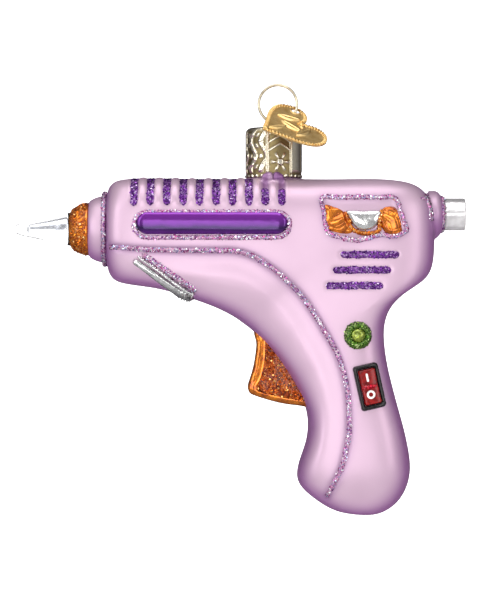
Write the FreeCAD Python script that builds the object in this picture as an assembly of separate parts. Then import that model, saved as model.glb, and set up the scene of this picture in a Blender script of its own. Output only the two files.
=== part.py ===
"""A blown-glass tree ornament in the shape of a glue gun, hanging from a gold ring.

The glass is one hollow blow: nozzle, barrel, grip, trigger and glue-stick stub, silvered inside, lacquered and
glittered outside. A stamped metal cap sits over its neck. A sprung wire runs through the cap into the neck and makes
the eye that the ring passes through. A heart-shaped tag hangs on the ring.

Frame: origin where a hook bears on the inside of the ring, +Z up, the nozzle points to -X, the shown side faces -Y.
"""

import FreeCAD
import Part
import math
import os

V = FreeCAD.Vector
PARTS = "parts"
os.makedirs(PARTS, exist_ok=True)

# ---- driving dimensions, mm -------------------------------------------------------------------------------------
ring_inner_r = 4.0
ring_wire_d = 0.66
ring_offset = 0.95         # the ring has slid this far to +X of the neck's axis
eye_wire_d = 0.7
eye_inner_r = 1.0
eye_play = 0.03            # between the eye and the ring it hangs on
eye_to_cap_gap = 0.8       # from the ring's lowest point to the top of the cap
leg_play = 0.05            # between the sprung legs and the neck's bore
leg_depth = 9.5            # how far the legs reach below the cap's top

cap_outer_r = 6.5
cap_height = 11.3
cap_wall = 0.3
cap_edge_r = 1.1
cap_seat_gap = 0.08        # running gap between the cap's rim and the glass

neck_outer_r = 5.4
neck_bore_r = 4.5
neck_top_gap = 0.5         # under the cap's crown

body_length = 74.2         # nose shoulder to rear wall
body_height = 76.4         # top of the barrel to the heel of the grip
body_half_depth = 12.5
neck_share = 0.509         # the neck's place along the body
glass_wall = 1.0
silver_thickness = 0.12
landing_margin = 0.25      # flat landing under the cap, outside its rim
landing_rise = 0.15        # above the barrel's top
lump_r = 1.3
lump_gap = 0.35            # from the cap to the two moulded lumps
lump_spread = 2.75

nozzle_axis_drop = 11.34   # nozzle's axis below the barrel's top
nozzle_length = 12.4
nozzle_base_r = 3.75
collar_length = 4.3
collar_base_r = 6.0
dome_length = 4.1
dome_front_r = 6.3
dome_base_r = 7.9
root_overlap = 2.5         # how far a turned root runs inside the body

boss_axis_drop = 8.0       # glue-stick stub's axis below the barrel's top
boss_r = 5.4
boss_length = 1.8
stub_r = 3.65
stub_length = 5.1
stub_edge_r = 0.8

groove_count = 10
groove_pitch = 3.65
groove_width = 1.9
groove_reach = 5.9         # from the barrel's top down the side
groove_depth = 0.4
first_groove_share = 0.0885

bar_length = 33.7
bar_width = 5.2
bar_relief = 0.9
bar_drop = 10.25           # centre line below the barrel's top
bar_centre_share = 0.322
bar_trim_drop = 0.45       # the glitter round the bar sits this much lower
bar_trim_width = 0.75

window_recess = 0.45
facet_relief = 0.3
window_stick_relief = 0.9

vent_width = 1.55
vent_recess = 0.35
vent_proud = 0.1
vent_pitch = 3.45
vent_lean = 1.6            # each vent starts this much further forward than the one above
vent_length = 13.4
vent_start_share = 0.705
vent_drop = 17.3

button_r = 1.5
button_relief = 1.2
button_trim_r = 3.1
button_share = (0.7595, 0.4614)

switch_length = 10.2
switch_width = 5.6
switch_relief = 0.8
switch_share = (0.793, 0.611)
switch_tilt = 12.5         # degrees, its top leans forward
rocker_length = 8.0
rocker_width = 3.7
rocker_relief = 1.25
mark_relief = 0.15
mark_line = 0.42

stand_length = 15.8
stand_width = 1.95
stand_relief = 1.1
stand_share = (0.175, 0.297)
stand_slope = 34.6         # degrees below the horizontal
stand_trim_offset = 1.65
stand_trim_width = 1.0

trigger_half_depth = 4.2
trigger_edge_r = 0.8
trigger_trim = 0.3         # glitter on the trigger's sides

glitter_proud = 0.45       # how far a bead of glitter stands up
glitter_bead = 1.3         # width of a drawn bead
dome_bead_r = 0.5
stub_bead_r = 0.35
collar_trim = 0.25

tag_half_width = 8.6
tag_thickness = 0.35
tag_hole_r = 0.95
tag_hole_share = (-0.63, 0.547)  # in half widths from the heart's middle
tag_ring_angle = 22.7      # degrees below the horizontal, where it hangs on the ring
tag_tilt = 57.0            # degrees from upright, the point towards -Y
tag_axis_slope = -16.6     # degrees, the line it tilts about, in the ring's plane
tag_spin = -49.2           # degrees, turn of the heart in its own plane

# ---- places that follow from the sizes ----------------------------------------------------------------------------
ring_wire_r = ring_wire_d / 2
ring_mean_r = ring_inner_r + ring_wire_r
ring_centre = V(0, 0, -ring_inner_r)
neck_x = -ring_offset
eye_z = ring_centre.z - math.sqrt(ring_mean_r ** 2 - ring_offset ** 2)
cap_top_z = -2 * ring_inner_r - ring_wire_d - eye_to_cap_gap
barrel_top_z = cap_top_z - cap_height - cap_seat_gap - landing_rise
neck_top_z = cap_top_z - cap_wall - neck_top_gap
nose_x = neck_x - neck_share * body_length
rear_x = nose_x + body_length
heel_z = barrel_top_z - body_height
nozzle_z = barrel_top_z - nozzle_axis_drop
boss_z = barrel_top_z - boss_axis_drop
side_y = -(body_half_depth + 4)

# Stations down the gun from nose to heel. Each is a slice between a point on the front outline and one on the back
# outline, as shares of the body's length and height, with its share of the full depth and how square it is.
stations = [
    ((0.000, 0.2610), (0.000, 0.0356), 0.69, 2.0),
    ((0.008, 0.2834), (0.008, 0.0208), 0.77, 2.3),
    ((0.022, 0.3012), (0.022, 0.0075), 0.86, 2.8),
    ((0.046, 0.3101), (0.046, 0.0010), 0.93, 3.3),
    ((0.095, 0.3160), (0.095, 0.0000), 0.98, 3.7),
    ((0.160, 0.3255), (0.180, 0.0000), 1.00, 3.8),
    ((0.220, 0.3422), (0.285, 0.0000), 1.00, 3.8),
    ((0.281, 0.3622), (0.420, 0.0000), 1.00, 3.8),
    ((0.326, 0.3790), (0.560, 0.0000), 1.00, 3.8),
    ((0.358, 0.3939), (0.697, 0.0000), 1.00, 3.8),
    ((0.388, 0.4092), (0.818, 0.0000), 0.99, 3.8),
    ((0.407, 0.4225), (0.902, 0.0036), 0.97, 3.8),
    ((0.422, 0.4331), (0.950, 0.0180), 0.95, 3.8),
    ((0.435, 0.4422), (0.982, 0.0475), 0.94, 3.8),
    ((0.447, 0.4532), (0.997, 0.1020), 0.93, 3.8),
    ((0.459, 0.4648), (1.000, 0.1740), 0.92, 3.8),
    ((0.471, 0.4763), (0.999, 0.2360), 0.92, 3.7),
    ((0.484, 0.4894), (0.988, 0.2810), 0.91, 3.6),
    ((0.501, 0.5083), (0.955, 0.3100), 0.91, 3.5),
    ((0.523, 0.5356), (0.907, 0.3370), 0.90, 3.4),
    ((0.549, 0.5712), (0.867, 0.3740), 0.90, 3.3),
    ((0.572, 0.6095), (0.849, 0.4140), 0.90, 3.2),
    ((0.590, 0.6410), (0.844, 0.4560), 0.90, 3.2),
    ((0.603, 0.6690), (0.848, 0.5040), 0.90, 3.2),
    ((0.612, 0.7005), (0.857, 0.5600), 0.90, 3.2),
    ((0.615, 0.7400), (0.873, 0.6250), 0.91, 3.2),
    ((0.607, 0.7850), (0.898, 0.7110), 0.92, 3.2),
    ((0.586, 0.8350), (0.920, 0.7920), 0.92, 3.2),
    ((0.577, 0.8770), (0.930, 0.8530), 0.91, 3.1),
    ((0.586, 0.9060), (0.919, 0.9070), 0.86, 3.0),
    ((0.617, 0.9360), (0.891, 0.9550), 0.76, 2.8),
    ((0.663, 0.9690), (0.852, 0.9840), 0.58, 2.5),
    ((0.712, 0.9910), (0.809, 0.9985), 0.32, 2.2),
]
section_points = 28
span_step = 5              # stations to one tile of the skin

# Outlines on the gun's side, in the same shares.
seam_line = [
    (0.012, 0.203), (0.131, 0.212), (0.299, 0.215), (0.385, 0.216), (0.439, 0.229), (0.481, 0.252), (0.522, 0.281),
    (0.558, 0.314), (0.595, 0.352), (0.630, 0.401), (0.662, 0.452), (0.690, 0.500), (0.709, 0.544), (0.724, 0.596),
    (0.731, 0.653), (0.733, 0.728), (0.728, 0.776), (0.712, 0.840), (0.692, 0.886), (0.666, 0.936),
]
window_line = [
    (0.651, 0.061), (0.760, 0.059), (0.870, 0.061), (0.888, 0.101), (0.898, 0.129), (0.904, 0.156), (0.870, 0.174),
    (0.831, 0.169), (0.785, 0.180), (0.748, 0.185), (0.711, 0.177), (0.674, 0.166), (0.659, 0.129), (0.657, 0.102),
]
left_facet = [
    (0.658, 0.085), (0.687, 0.088), (0.715, 0.101), (0.730, 0.129), (0.744, 0.156), (0.730, 0.166), (0.693, 0.162),
    (0.669, 0.149),
]
right_facet = [
    (0.834, 0.092), (0.870, 0.088), (0.883, 0.114), (0.890, 0.141), (0.888, 0.162), (0.849, 0.166), (0.831, 0.149),
    (0.826, 0.129),
]
window_stick = [
    (0.724, 0.099), (0.828, 0.099), (0.826, 0.117), (0.818, 0.138), (0.800, 0.153), (0.773, 0.156), (0.748, 0.145),
    (0.730, 0.117),
]
copper_line = [
    (0.719, 0.101), (0.730, 0.129), (0.746, 0.154), (0.782, 0.165), (0.819, 0.158), (0.825, 0.129), (0.832, 0.095),
]
boss_line = [(0.970, 0.045), (0.977, 0.077), (0.983, 0.108), (0.983, 0.128)]
trigger_outline = [
    (0.454, 0.440), (0.456, 0.491), (0.448, 0.549), (0.438, 0.585), (0.429, 0.614), (0.433, 0.630), (0.441, 0.637),
    (0.483, 0.651), (0.530, 0.663), (0.575, 0.669), (0.640, 0.671), (0.660, 0.600), (0.620, 0.500), (0.545, 0.415),
]
trigger_panel = [
    (0.492, 0.470), (0.486, 0.521), (0.481, 0.559), (0.470, 0.595), (0.458, 0.620), (0.498, 0.633), (0.559, 0.645),
    (0.640, 0.650), (0.650, 0.600), (0.580, 0.500), (0.530, 0.440),
]

bodies = {}


def at(share_x, share_z):
    """A place on the gun's middle plane, from shares of the body's length and height."""
    return V(nose_x + share_x * body_length, 0, barrel_top_z - share_z * body_height)


def section(front, back, depth, squareness, grow):
    """The ring of poles for one slice of the body, moved out by grow."""
    front = at(*front)
    back = at(*back)
    middle = (front + back) * 0.5
    reach = back - front
    half = reach.Length / 2 + grow
    along = reach.normalize()
    half_depth = depth * body_half_depth + grow
    poles = []
    for k in range(section_points):
        turn = 2 * math.pi * k / section_points
        c = math.cos(turn)
        s = math.sin(turn)
        a = math.copysign(abs(c) ** (2 / squareness), c) * half
        y = math.copysign(abs(s) ** (2 / squareness), s) * half_depth
        poles.append(middle + along * a + V(0, y, 0))
    return poles


def body(grow):
    """Barrel and grip as one smooth solid, its side wall moved out by grow."""
    if grow not in bodies:
        rows = [section(f, b, d, n, grow) for f, b, d, n in stations]
        poles = [list(column) for column in zip(*rows)]
        spans = len(rows) - 2
        ends = [3] + [1] * (spans - 1) + [3]
        skin = Part.BSplineSurface()
        skin.buildFromPolesMultsKnots(
            poles, [1] * (section_points + 1), ends, list(range(section_points + 1)), list(range(spans + 1)),
            True, False, 3, 2)
        faces = []
        for v in range(0, spans, span_step):
            for u in range(0, section_points, section_points // 4):
                tile = skin.copy()
                tile.segment(u, u + section_points // 4, v, min(v + span_step, spans))
                faces.append(tile.toShape())
        for v in (0, spans):
            faces.append(Part.Face(Part.Wire([skin.vIso(v).toShape()])))
        shell = Part.Shell(faces)
        shell.sewShape()
        solid = Part.Solid(shell)
        solid.fix(0.001, 0.001, 0.001)
        bodies[grow] = solid
    return bodies[grow]


def through(face):
    """The face carried along Y through the shown side of the gun, stopping short of its middle plane."""
    moved = face.copy()
    moved.translate(V(0, side_y, 0))
    return moved.extrude(V(0, -side_y - 3, 0))


def raised(face, low, high):
    """What the face covers of the layer between two levels over the gun's side."""
    return through(face).common(body(high)).cut(body(low))


def both_sides(shape):
    """The shape and its mirror image on the far side."""
    return Part.makeCompound([shape, shape.mirror(V(0, 0, 0), V(0, 1, 0))])


def smooth(shares, closed=False):
    """A soft line through places given as shares, sampled into short straights."""
    curve = Part.BSplineCurve()
    curve.interpolate(Points=[at(*p) for p in shares], PeriodicFlag=closed)
    points = curve.discretize(3 * len(shares))
    if closed:
        points[-1] = points[0]
    return Part.makePolygon(points)


def patch(shares):
    return Part.Face(smooth(shares, True))


def bead(shares, width):
    """The flat plan of a drawn bead along an open line."""
    return Part.Face(smooth(shares).makeOffset2D(width / 2, 0, False, False, False))


def loop_bead(shares, width):
    """The flat plan of a drawn bead along a closed line."""
    line = smooth(shares, True)
    outer = Part.Face(line.makeOffset2D(width / 2))
    return outer.cut(Part.Face(line.makeOffset2D(-width / 2)))


def capsule(centre, length, width, slope):
    """A round-ended bar in the gun's side plane; slope is in degrees below the horizontal."""
    r = width / 2
    half = length / 2 - r
    ends = [V(-half, 0, r), V(half, 0, r), V(half + r, 0, 0), V(half, 0, -r), V(-half, 0, -r), V(-half - r, 0, 0)]
    top = Part.makeLine(ends[0], ends[1])
    right = Part.Arc(ends[1], ends[2], ends[3]).toShape()
    low = Part.makeLine(ends[3], ends[4])
    left = Part.Arc(ends[4], ends[5], ends[0]).toShape()
    face = Part.Face(Part.Wire([top, right, low, left]))
    face.rotate(V(0, 0, 0), V(0, 1, 0), slope)
    face.translate(centre)
    return face


def rectangle(centre, width, length, corner, tilt):
    """An upright round-cornered rectangle in the gun's side plane, its top leaning forward by tilt degrees."""
    a = width / 2 - corner
    b = length / 2 - corner
    core = Part.makePolygon([V(-a, 0, -b), V(a, 0, -b), V(a, 0, b), V(-a, 0, b), V(-a, 0, -b)])
    face = Part.Face(core.makeOffset2D(corner, 0))
    face.rotate(V(0, 0, 0), V(0, 1, 0), -tilt)
    face.translate(centre)
    return face


def disc(centre, r):
    return Part.Face(Part.Wire(Part.makeCircle(r, centre, V(0, 1, 0))))


def turned(poles, start_x, axis_z, grow=0.0):
    """A solid turned about a line along X. The poles are (distance from start_x, radius), front to back."""
    curve = Part.BSplineCurve()
    knots = len(poles) - 2
    curve.buildFromPolesMultsKnots(
        [V(start_x + x, 0, axis_z + max(r + grow, 0.0)) for x, r in poles],
        [3] + [1] * (knots - 1) + [3], list(range(knots + 1)), False, 2)
    edge = curve.toShape()
    a = curve.StartPoint
    b = curve.EndPoint
    front = V(a.x, 0, axis_z)
    back = V(b.x, 0, axis_z)
    corners = [b, back, front, a]
    sides = [edge]
    for start, end in zip(corners, corners[1:]):
        if start.distanceToPoint(end) > 0.001:
            sides.append(Part.makeLine(start, end))
    profile = Part.Face(Part.Wire(Part.__sortEdges__(sides)))
    return profile.revolve(front, V(1, 0, 0), 360)


def rod(points, r):
    """A round wire bent along a soft line through the points."""
    curve = Part.BSplineCurve()
    curve.interpolate(Points=points)
    path = Part.Wire([curve.toShape()])
    profile = Part.Wire([Part.makeCircle(r, points[0], curve.tangent(curve.FirstParameter)[0])])
    return path.makePipeShell([profile], True, True)


# ---- the blown glass ----------------------------------------------------------------------------------------------
nozzle_poles = [
    (0.0, 0.0), (0.0, 0.9), (0.5, 1.1), (1.5, 1.5), (4.2, 2.0), (7.9, 2.8), (10.5, 3.5), (nozzle_length, nozzle_base_r),
]
collar_poles = [
    (0.0, nozzle_base_r), (0.25 * collar_length, 0.5 * (nozzle_base_r + collar_base_r)),
    (0.6 * collar_length, 0.93 * collar_base_r), (collar_length, collar_base_r),
]
dome_poles = [
    (0.0, dome_front_r), (0.25 * dome_length, 0.89 * dome_base_r), (0.6 * dome_length, 0.94 * dome_base_r),
    (dome_length, dome_base_r), (dome_length + root_overlap, dome_base_r),
]
boss_poles = [
    (-root_overlap, boss_r), (0.0, boss_r), (0.3 * boss_length, boss_r), (0.7 * boss_length, 0.5 * (boss_r + stub_r)),
    (boss_length, 1.04 * stub_r),
]
stub_poles = [
    (0.0, stub_r), (stub_length - stub_edge_r, stub_r), (stub_length, stub_r), (stub_length, stub_r - stub_edge_r),
    (stub_length, 0.0),
]
collar_x = nose_x - dome_length - collar_length
tip_x = collar_x - nozzle_length
stub_x = rear_x + boss_length
button_at = at(*button_share)
switch_at = at(*switch_share)
bar_at = at(bar_centre_share, bar_drop / body_height)


def trigger_block(shrink):
    """The trigger's blade, reaching back into the grip, its faces moved in by shrink."""
    plan = Part.Face(smooth(trigger_outline, True).makeOffset2D(-shrink)) if shrink else patch(trigger_outline)
    half = trigger_half_depth - shrink
    plan.translate(V(0, -half, 0))
    return plan.extrude(V(0, 2 * half, 0))


def cavity(depth):
    """The hollow of the blow, this far in from the outside."""
    inside = Part.makeBox(300, 300, 300, V(nose_x + depth, -150, heel_z + depth))
    rooms = [
        turned(nozzle_poles[2:], tip_x + 2 * depth, nozzle_z, -depth),
        turned(collar_poles, collar_x - 0.01, nozzle_z, -depth),
        turned(dome_poles, nose_x - dome_length - 0.01, nozzle_z, -depth),
        turned(boss_poles, rear_x - 0.01, boss_z, -depth),
        turned([(x * (1 - depth / stub_length), r) for x, r in stub_poles], stub_x - 0.01, boss_z, -depth),
        trigger_block(depth),
    ]
    return body(-depth).common(inside).multiFuse(rooms)


def neck():
    foot = barrel_top_z - 2
    landing = Part.makeCylinder(cap_outer_r + landing_margin, 2 + landing_rise, V(neck_x, 0, foot))
    tube = Part.makeCylinder(neck_outer_r, neck_top_z - foot, V(neck_x, 0, foot))
    return landing.fuse(tube)


def neck_bore():
    return Part.makeCylinder(neck_bore_r, neck_top_z - barrel_top_z + 6, V(neck_x, 0, barrel_top_z - 5))


def lumps():
    """Two small moulded lumps on the barrel beside the cap, on each side."""
    away = cap_outer_r + lump_gap + lump_r
    shapes = []
    for side in (-1, 1):
        for step in (-0.5, 0.5):
            place = V(neck_x - 0.25 + step * lump_spread, side * away, barrel_top_z + 0.15)
            shapes.append(Part.makeSphere(lump_r, place))
    return shapes


def groove_blocks():
    """The upright cuts over the barrel's top, round-ended on the sides."""
    blocks = []
    depth = body_half_depth + 5
    r = groove_width / 2
    for k in range(groove_count):
        x = at(first_groove_share, 0).x + k * groove_pitch
        slot = Part.makeBox(groove_width, 2 * depth, groove_reach - r + 3, V(x - r, -depth, barrel_top_z - groove_reach + r))
        foot = Part.makeCylinder(r, 2 * depth, V(x, -depth, barrel_top_z - groove_reach + r), V(0, 1, 0))
        blocks.append(slot.fuse(foot))
    landing = Part.makeCylinder(cap_outer_r + landing_margin + 0.2, 12, V(neck_x, 0, barrel_top_z - 3))
    beside = [ball.makeOffsetShape(0.15, 0.01) for ball in lumps()]
    return Part.makeCompound(blocks).cut(landing.multiFuse(beside))


def vents():
    faces = []
    for k in range(3):
        start = at(vent_start_share, 0).x - k * vent_lean
        length = vent_length - 0.2 * k
        centre = V(start + length / 2, 0, barrel_top_z - vent_drop - k * vent_pitch)
        faces.append(capsule(centre, length, vent_width, 0))
    return Part.makeCompound(faces)


def window_insets():
    return Part.makeCompound([patch(left_facet), patch(right_facet), patch(window_stick)])


def glass_body(hollow):
    outer = body(0).multiFuse([
        turned(dome_poles, nose_x - dome_length, nozzle_z),
        turned(boss_poles, rear_x, boss_z),
        neck(),
    ] + lumps())
    shell = outer.cut(hollow).cut(neck_bore())
    cuts = [
        groove_blocks().cut(body(-groove_depth)),
        both_sides(through(vents()).cut(body(-vent_recess))),
        both_sides(through(window_insets()).cut(body(-window_recess))),
    ]
    return shell.cut(Part.makeCompound(cuts))


def glass_nozzle(hollow):
    return turned(nozzle_poles, tip_x, nozzle_z).cut(hollow)


def glass_collar(hollow):
    return turned(collar_poles, collar_x, nozzle_z).cut(hollow)


def glass_stub(hollow):
    return turned(stub_poles, stub_x, boss_z).cut(hollow)


def glass_trigger(hollow):
    block = trigger_block(0)
    edges = [e for e in block.Edges if abs(e.CenterOfMass.y) > trigger_half_depth - 0.01]
    return block.makeFillet(trigger_edge_r, edges).cut(body(0)).cut(hollow)


def silver_lining():
    lining = cavity(glass_wall).cut(cavity(glass_wall + silver_thickness))
    return lining.cut(Part.makeCylinder(neck_bore_r, 12, V(neck_x, 0, barrel_top_z - 8)))


def bars():
    return both_sides(raised(capsule(bar_at, bar_length, bar_width, 0), 0, bar_relief))


def stands():
    return both_sides(raised(capsule(at(*stand_share), stand_length, stand_width, stand_slope), 0, stand_relief))


def facets():
    faces = Part.makeCompound([patch(left_facet), patch(right_facet)])
    return both_sides(raised(faces, -window_recess, facet_relief).cut(through(bead(copper_line, 0.8))))


def window_sticks():
    shape = raised(patch(window_stick), -window_recess, window_stick_relief)
    return both_sides(shape.cut(through(bead(copper_line, 0.8))))


def buttons():
    return both_sides(raised(disc(button_at, button_r), 0, button_relief))


def bezels():
    ring = rectangle(switch_at, switch_width, switch_length, 0.6, switch_tilt)
    ring = ring.cut(rectangle(switch_at, rocker_width, rocker_length, 0.4, switch_tilt))
    return both_sides(raised(ring, 0, switch_relief))


def rockers():
    plan = rectangle(switch_at, rocker_width, rocker_length, 0.4, switch_tilt)
    return both_sides(raised(plan, 0, rocker_relief))


def along_switch(distance):
    """A place on the switch's long middle line, this far above its centre."""
    lean = math.radians(switch_tilt)
    return switch_at + V(-math.sin(lean) * distance, 0, math.cos(lean) * distance)


def marks():
    stroke = rectangle(along_switch(0.26 * rocker_length), mark_line, 1.8, 0.15, switch_tilt)
    low = along_switch(-0.22 * rocker_length)
    ring = disc(low, 0.95).cut(disc(low, 0.95 - mark_line))
    return both_sides(raised(Part.makeCompound([stroke, ring]), rocker_relief, rocker_relief + mark_relief))


# ---- glitter ------------------------------------------------------------------------------------------------------
def rib_glitter():
    return groove_blocks().common(body(0.1)).cut(body(-groove_depth))


def vent_glitter():
    return both_sides(raised(vents(), -vent_recess, vent_proud))


def bar_glitter():
    lower = bar_at - V(0, 0, bar_trim_drop)
    ring = capsule(lower, bar_length + 2 * bar_trim_width, bar_width + 2 * bar_trim_width, 0)
    ring = ring.cut(capsule(bar_at, bar_length, bar_width, 0))
    return both_sides(raised(ring, 0, glitter_proud))


def seam_glitter():
    return both_sides(raised(bead(seam_line, glitter_bead), 0, glitter_proud))


def window_glitter():
    frame = loop_bead(window_line, 1.1)
    return both_sides(raised(frame.cut(window_insets()), 0, glitter_proud))


def copper_glitter():
    return both_sides(raised(bead(copper_line, 0.8).cut(loop_bead(window_line, 1.1)), 0, glitter_proud))


def stand_glitter():
    lift = math.radians(stand_slope)
    centre = at(*stand_share) + V(math.sin(lift), 0, math.cos(lift)) * stand_trim_offset
    plan = capsule(centre, stand_length, stand_trim_width, stand_slope).cut(bead(seam_line, glitter_bead))
    return both_sides(raised(plan, 0, glitter_proud))


def button_glitter():
    ring = disc(button_at, button_trim_r).cut(disc(button_at, button_r))
    return both_sides(raised(ring, 0, 2 * glitter_proud))


def switch_glitter():
    plan = rectangle(along_switch(0), rocker_width, 0.6, 0.2, switch_tilt)
    return both_sides(raised(plan, rocker_relief, rocker_relief + glitter_proud))


def boss_glitter():
    bead_round = turned(boss_poles, rear_x, boss_z)
    return both_sides(raised(bead(boss_line, 0.9), 0, glitter_proud).cut(bead_round))


def dome_glitter():
    ring = Part.makeTorus(dome_base_r + 0.15, dome_bead_r, V(nose_x - 0.35, 0, nozzle_z), V(1, 0, 0))
    front = Part.makeBox(10, 60, 60, V(nose_x - 10, -30, nozzle_z - 30))
    return ring.common(front).cut(turned(dome_poles, nose_x - dome_length, nozzle_z))


def stub_glitter():
    ring = Part.makeTorus(1.04 * stub_r, stub_bead_r, V(stub_x, 0, boss_z), V(1, 0, 0))
    inside = turned(boss_poles, rear_x, boss_z).fuse(turned(stub_poles, stub_x, boss_z))
    return ring.cut(inside)


def collar_glitter():
    coat = turned(collar_poles, collar_x, nozzle_z, collar_trim)
    return coat.cut(turned(collar_poles, collar_x, nozzle_z))


def trigger_glitter():
    plan = patch(trigger_panel)
    plan.translate(V(0, -trigger_half_depth - trigger_trim, 0))
    return both_sides(plan.extrude(V(0, trigger_trim, 0)).cut(body(0)))


# ---- metal --------------------------------------------------------------------------------------------------------
def cup(r, height, edge, rim_z):
    block = Part.makeCylinder(r, height, V(neck_x, 0, rim_z))
    top = [e for e in block.Edges if e.CenterOfMass.z > rim_z + height - 0.01 and e.isClosed()]
    return block.makeFillet(edge, top[:1])


def hanger_wire():
    """The eye over the cap and its two legs sprung against the neck's bore."""
    r = eye_wire_d / 2
    arch = eye_inner_r + r
    top = eye_z + ring_wire_r + eye_play + r
    middle = top - arch
    foot = cap_top_z - leg_depth
    spread = neck_bore_r - leg_play - r
    half = [
        (spread, foot), (spread - 0.05, foot + 1.6), (0.62 * spread, cap_top_z - 4.2), (arch, cap_top_z - 1.2),
        (arch, cap_top_z - 0.1), (arch, middle), (0.71 * arch, middle + 0.71 * arch),
    ]
    points = [V(neck_x, y, z) for y, z in half] + [V(neck_x, 0, top)]
    points += [V(neck_x, -y, z) for y, z in reversed(half)]
    return rod(points, r)


def metal_cap(wire):
    rim_z = cap_top_z - cap_height
    shell = cup(cap_outer_r, cap_height, cap_edge_r, rim_z)
    shell = shell.cut(cup(cap_outer_r - cap_wall, cap_height - cap_wall, cap_edge_r - cap_wall, rim_z))
    return shell.cut(wire)


def hanging_ring():
    return Part.makeTorus(ring_mean_r, ring_wire_r, ring_centre, V(0, 1, 0))


def tag_frame():
    """Where the tag hangs on the ring, the line it tilts about, and the direction across it towards the lobes."""
    drop = math.radians(tag_ring_angle)
    hook = ring_centre + V(math.cos(drop), 0, -math.sin(drop)) * ring_mean_r
    slope = math.radians(tag_axis_slope)
    tilt = math.radians(tag_tilt)
    line = V(math.cos(slope), 0, math.sin(slope))
    up = V(-math.sin(slope), 0, math.cos(slope))
    across = up * math.cos(tilt) + V(0, math.sin(tilt), 0)
    return hook, line, across


def heart_tag():
    hook, line, across = tag_frame()
    spin = math.radians(tag_spin)
    points = []
    for k in range(25):
        t = 2 * math.pi * k / 24
        x = math.sin(t) ** 3
        z = (13 * math.cos(t) - 5 * math.cos(2 * t) - 2 * math.cos(3 * t) - math.cos(4 * t)) / 16
        if z < -0.8:
            z = -0.8 + (z + 0.8) * 0.5
        x -= tag_hole_share[0]
        z -= tag_hole_share[1]
        a = (x * math.cos(spin) - z * math.sin(spin)) * tag_half_width
        b = (x * math.sin(spin) + z * math.cos(spin)) * tag_half_width
        points.append(hook + line * a + across * b)
    points[-1] = points[0]
    edge = Part.BSplineCurve()
    edge.interpolate(Points=points)
    plate = Part.Face(Part.Wire([edge.toShape()]))
    normal = line.cross(across)
    plate.translate(normal * (-tag_thickness / 2))
    hole = Part.makeCylinder(tag_hole_r, 4, hook - normal * 2, normal)
    return plate.extrude(normal * tag_thickness).cut(hole)


def all_nodes():
    hollow = cavity(glass_wall)
    wire = hanger_wire()
    return {
        "glass_body": glass_body(hollow),
        "glass_nozzle": glass_nozzle(hollow),
        "glass_collar": glass_collar(hollow),
        "glass_trigger": glass_trigger(hollow),
        "glass_glue_stick_end": glass_stub(hollow),
        "silver_lining": silver_lining(),
        "side_bars": bars(),
        "stands": stands(),
        "window_facets": facets(),
        "window_glue_sticks": window_sticks(),
        "indicator_buttons": buttons(),
        "switch_bezels": bezels(),
        "switch_rockers": rockers(),
        "switch_marks": marks(),
        "rib_glitter": rib_glitter(),
        "vent_glitter": vent_glitter(),
        "bar_outline_glitter": bar_glitter(),
        "seam_glitter": seam_glitter(),
        "window_frame_glitter": window_glitter(),
        "window_copper_glitter": copper_glitter(),
        "stand_glitter": stand_glitter(),
        "button_glitter": button_glitter(),
        "switch_glitter": switch_glitter(),
        "boss_glitter": boss_glitter(),
        "dome_seam_glitter": dome_glitter(),
        "stub_glitter": stub_glitter(),
        "collar_glitter": collar_glitter(),
        "trigger_glitter": trigger_glitter(),
        "metal_cap": metal_cap(wire),
        "hanger_wire": wire,
        "hanging_ring": hanging_ring(),
        "heart_tag": heart_tag(),
    }


for name, shape in all_nodes().items():
    solids = shape.Solids
    print(name, len(solids), round(sum(s.Volume for s in solids), 2), all(s.isValid() for s in solids))
    Part.makeCompound(solids).exportStep(os.path.join(PARTS, name + ".step"))
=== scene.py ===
import math
import random

import bmesh
import bpy
import numpy
from mathutils import Matrix, Vector, noise
from mathutils.bvhtree import BVHTree
from mathutils.kdtree import KDTree


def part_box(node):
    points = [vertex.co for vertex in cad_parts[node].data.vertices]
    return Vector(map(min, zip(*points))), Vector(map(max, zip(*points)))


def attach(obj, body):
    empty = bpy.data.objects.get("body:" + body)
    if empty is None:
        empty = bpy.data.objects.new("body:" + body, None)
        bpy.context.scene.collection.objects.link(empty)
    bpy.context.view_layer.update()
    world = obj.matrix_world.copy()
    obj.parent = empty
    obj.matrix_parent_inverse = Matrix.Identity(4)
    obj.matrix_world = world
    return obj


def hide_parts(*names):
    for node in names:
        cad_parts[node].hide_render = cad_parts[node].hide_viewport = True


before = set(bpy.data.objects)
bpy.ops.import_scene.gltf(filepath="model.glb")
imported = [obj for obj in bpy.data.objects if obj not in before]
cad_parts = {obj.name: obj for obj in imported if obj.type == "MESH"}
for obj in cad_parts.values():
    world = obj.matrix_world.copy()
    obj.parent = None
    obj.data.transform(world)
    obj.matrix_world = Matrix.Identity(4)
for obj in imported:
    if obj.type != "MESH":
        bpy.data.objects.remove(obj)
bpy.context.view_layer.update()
mm = 0.001

# the gun's own sizes in mm, the same as in the CAD part
gun = {
    "length": 74.2,
    "height": 76.4,
    "halfDepth": 12.5,
    "noseX": -38.72,
    "topZ": -20.99,
    "neckX": -0.95,
    "capR": 6.5,
    "nozzleDrop": 11.34,
    "bossDrop": 8.0,
    "ringPoints": 28,
}


def place(shareX, shareZ):
    # shares of the gun's length and height to x, z in mm
    return gun["noseX"] + shareX * gun["length"], gun["topZ"] - shareZ * gun["height"]


# meshes

def toMesh(bm, name, *materials):
    mesh = bpy.data.meshes.new(name)
    bm.to_mesh(mesh)
    bm.free()
    obj = bpy.data.objects.new(name, mesh)
    bpy.context.scene.collection.objects.link(obj)
    for m in materials:
        mesh.materials.append(m)
    mesh.polygons.foreach_set("use_smooth", [True] * len(mesh.polygons))
    return obj


def finishPiece(obj, body, slotName, *nodes):
    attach(obj, body)
    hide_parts(*nodes)
    return obj


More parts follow.
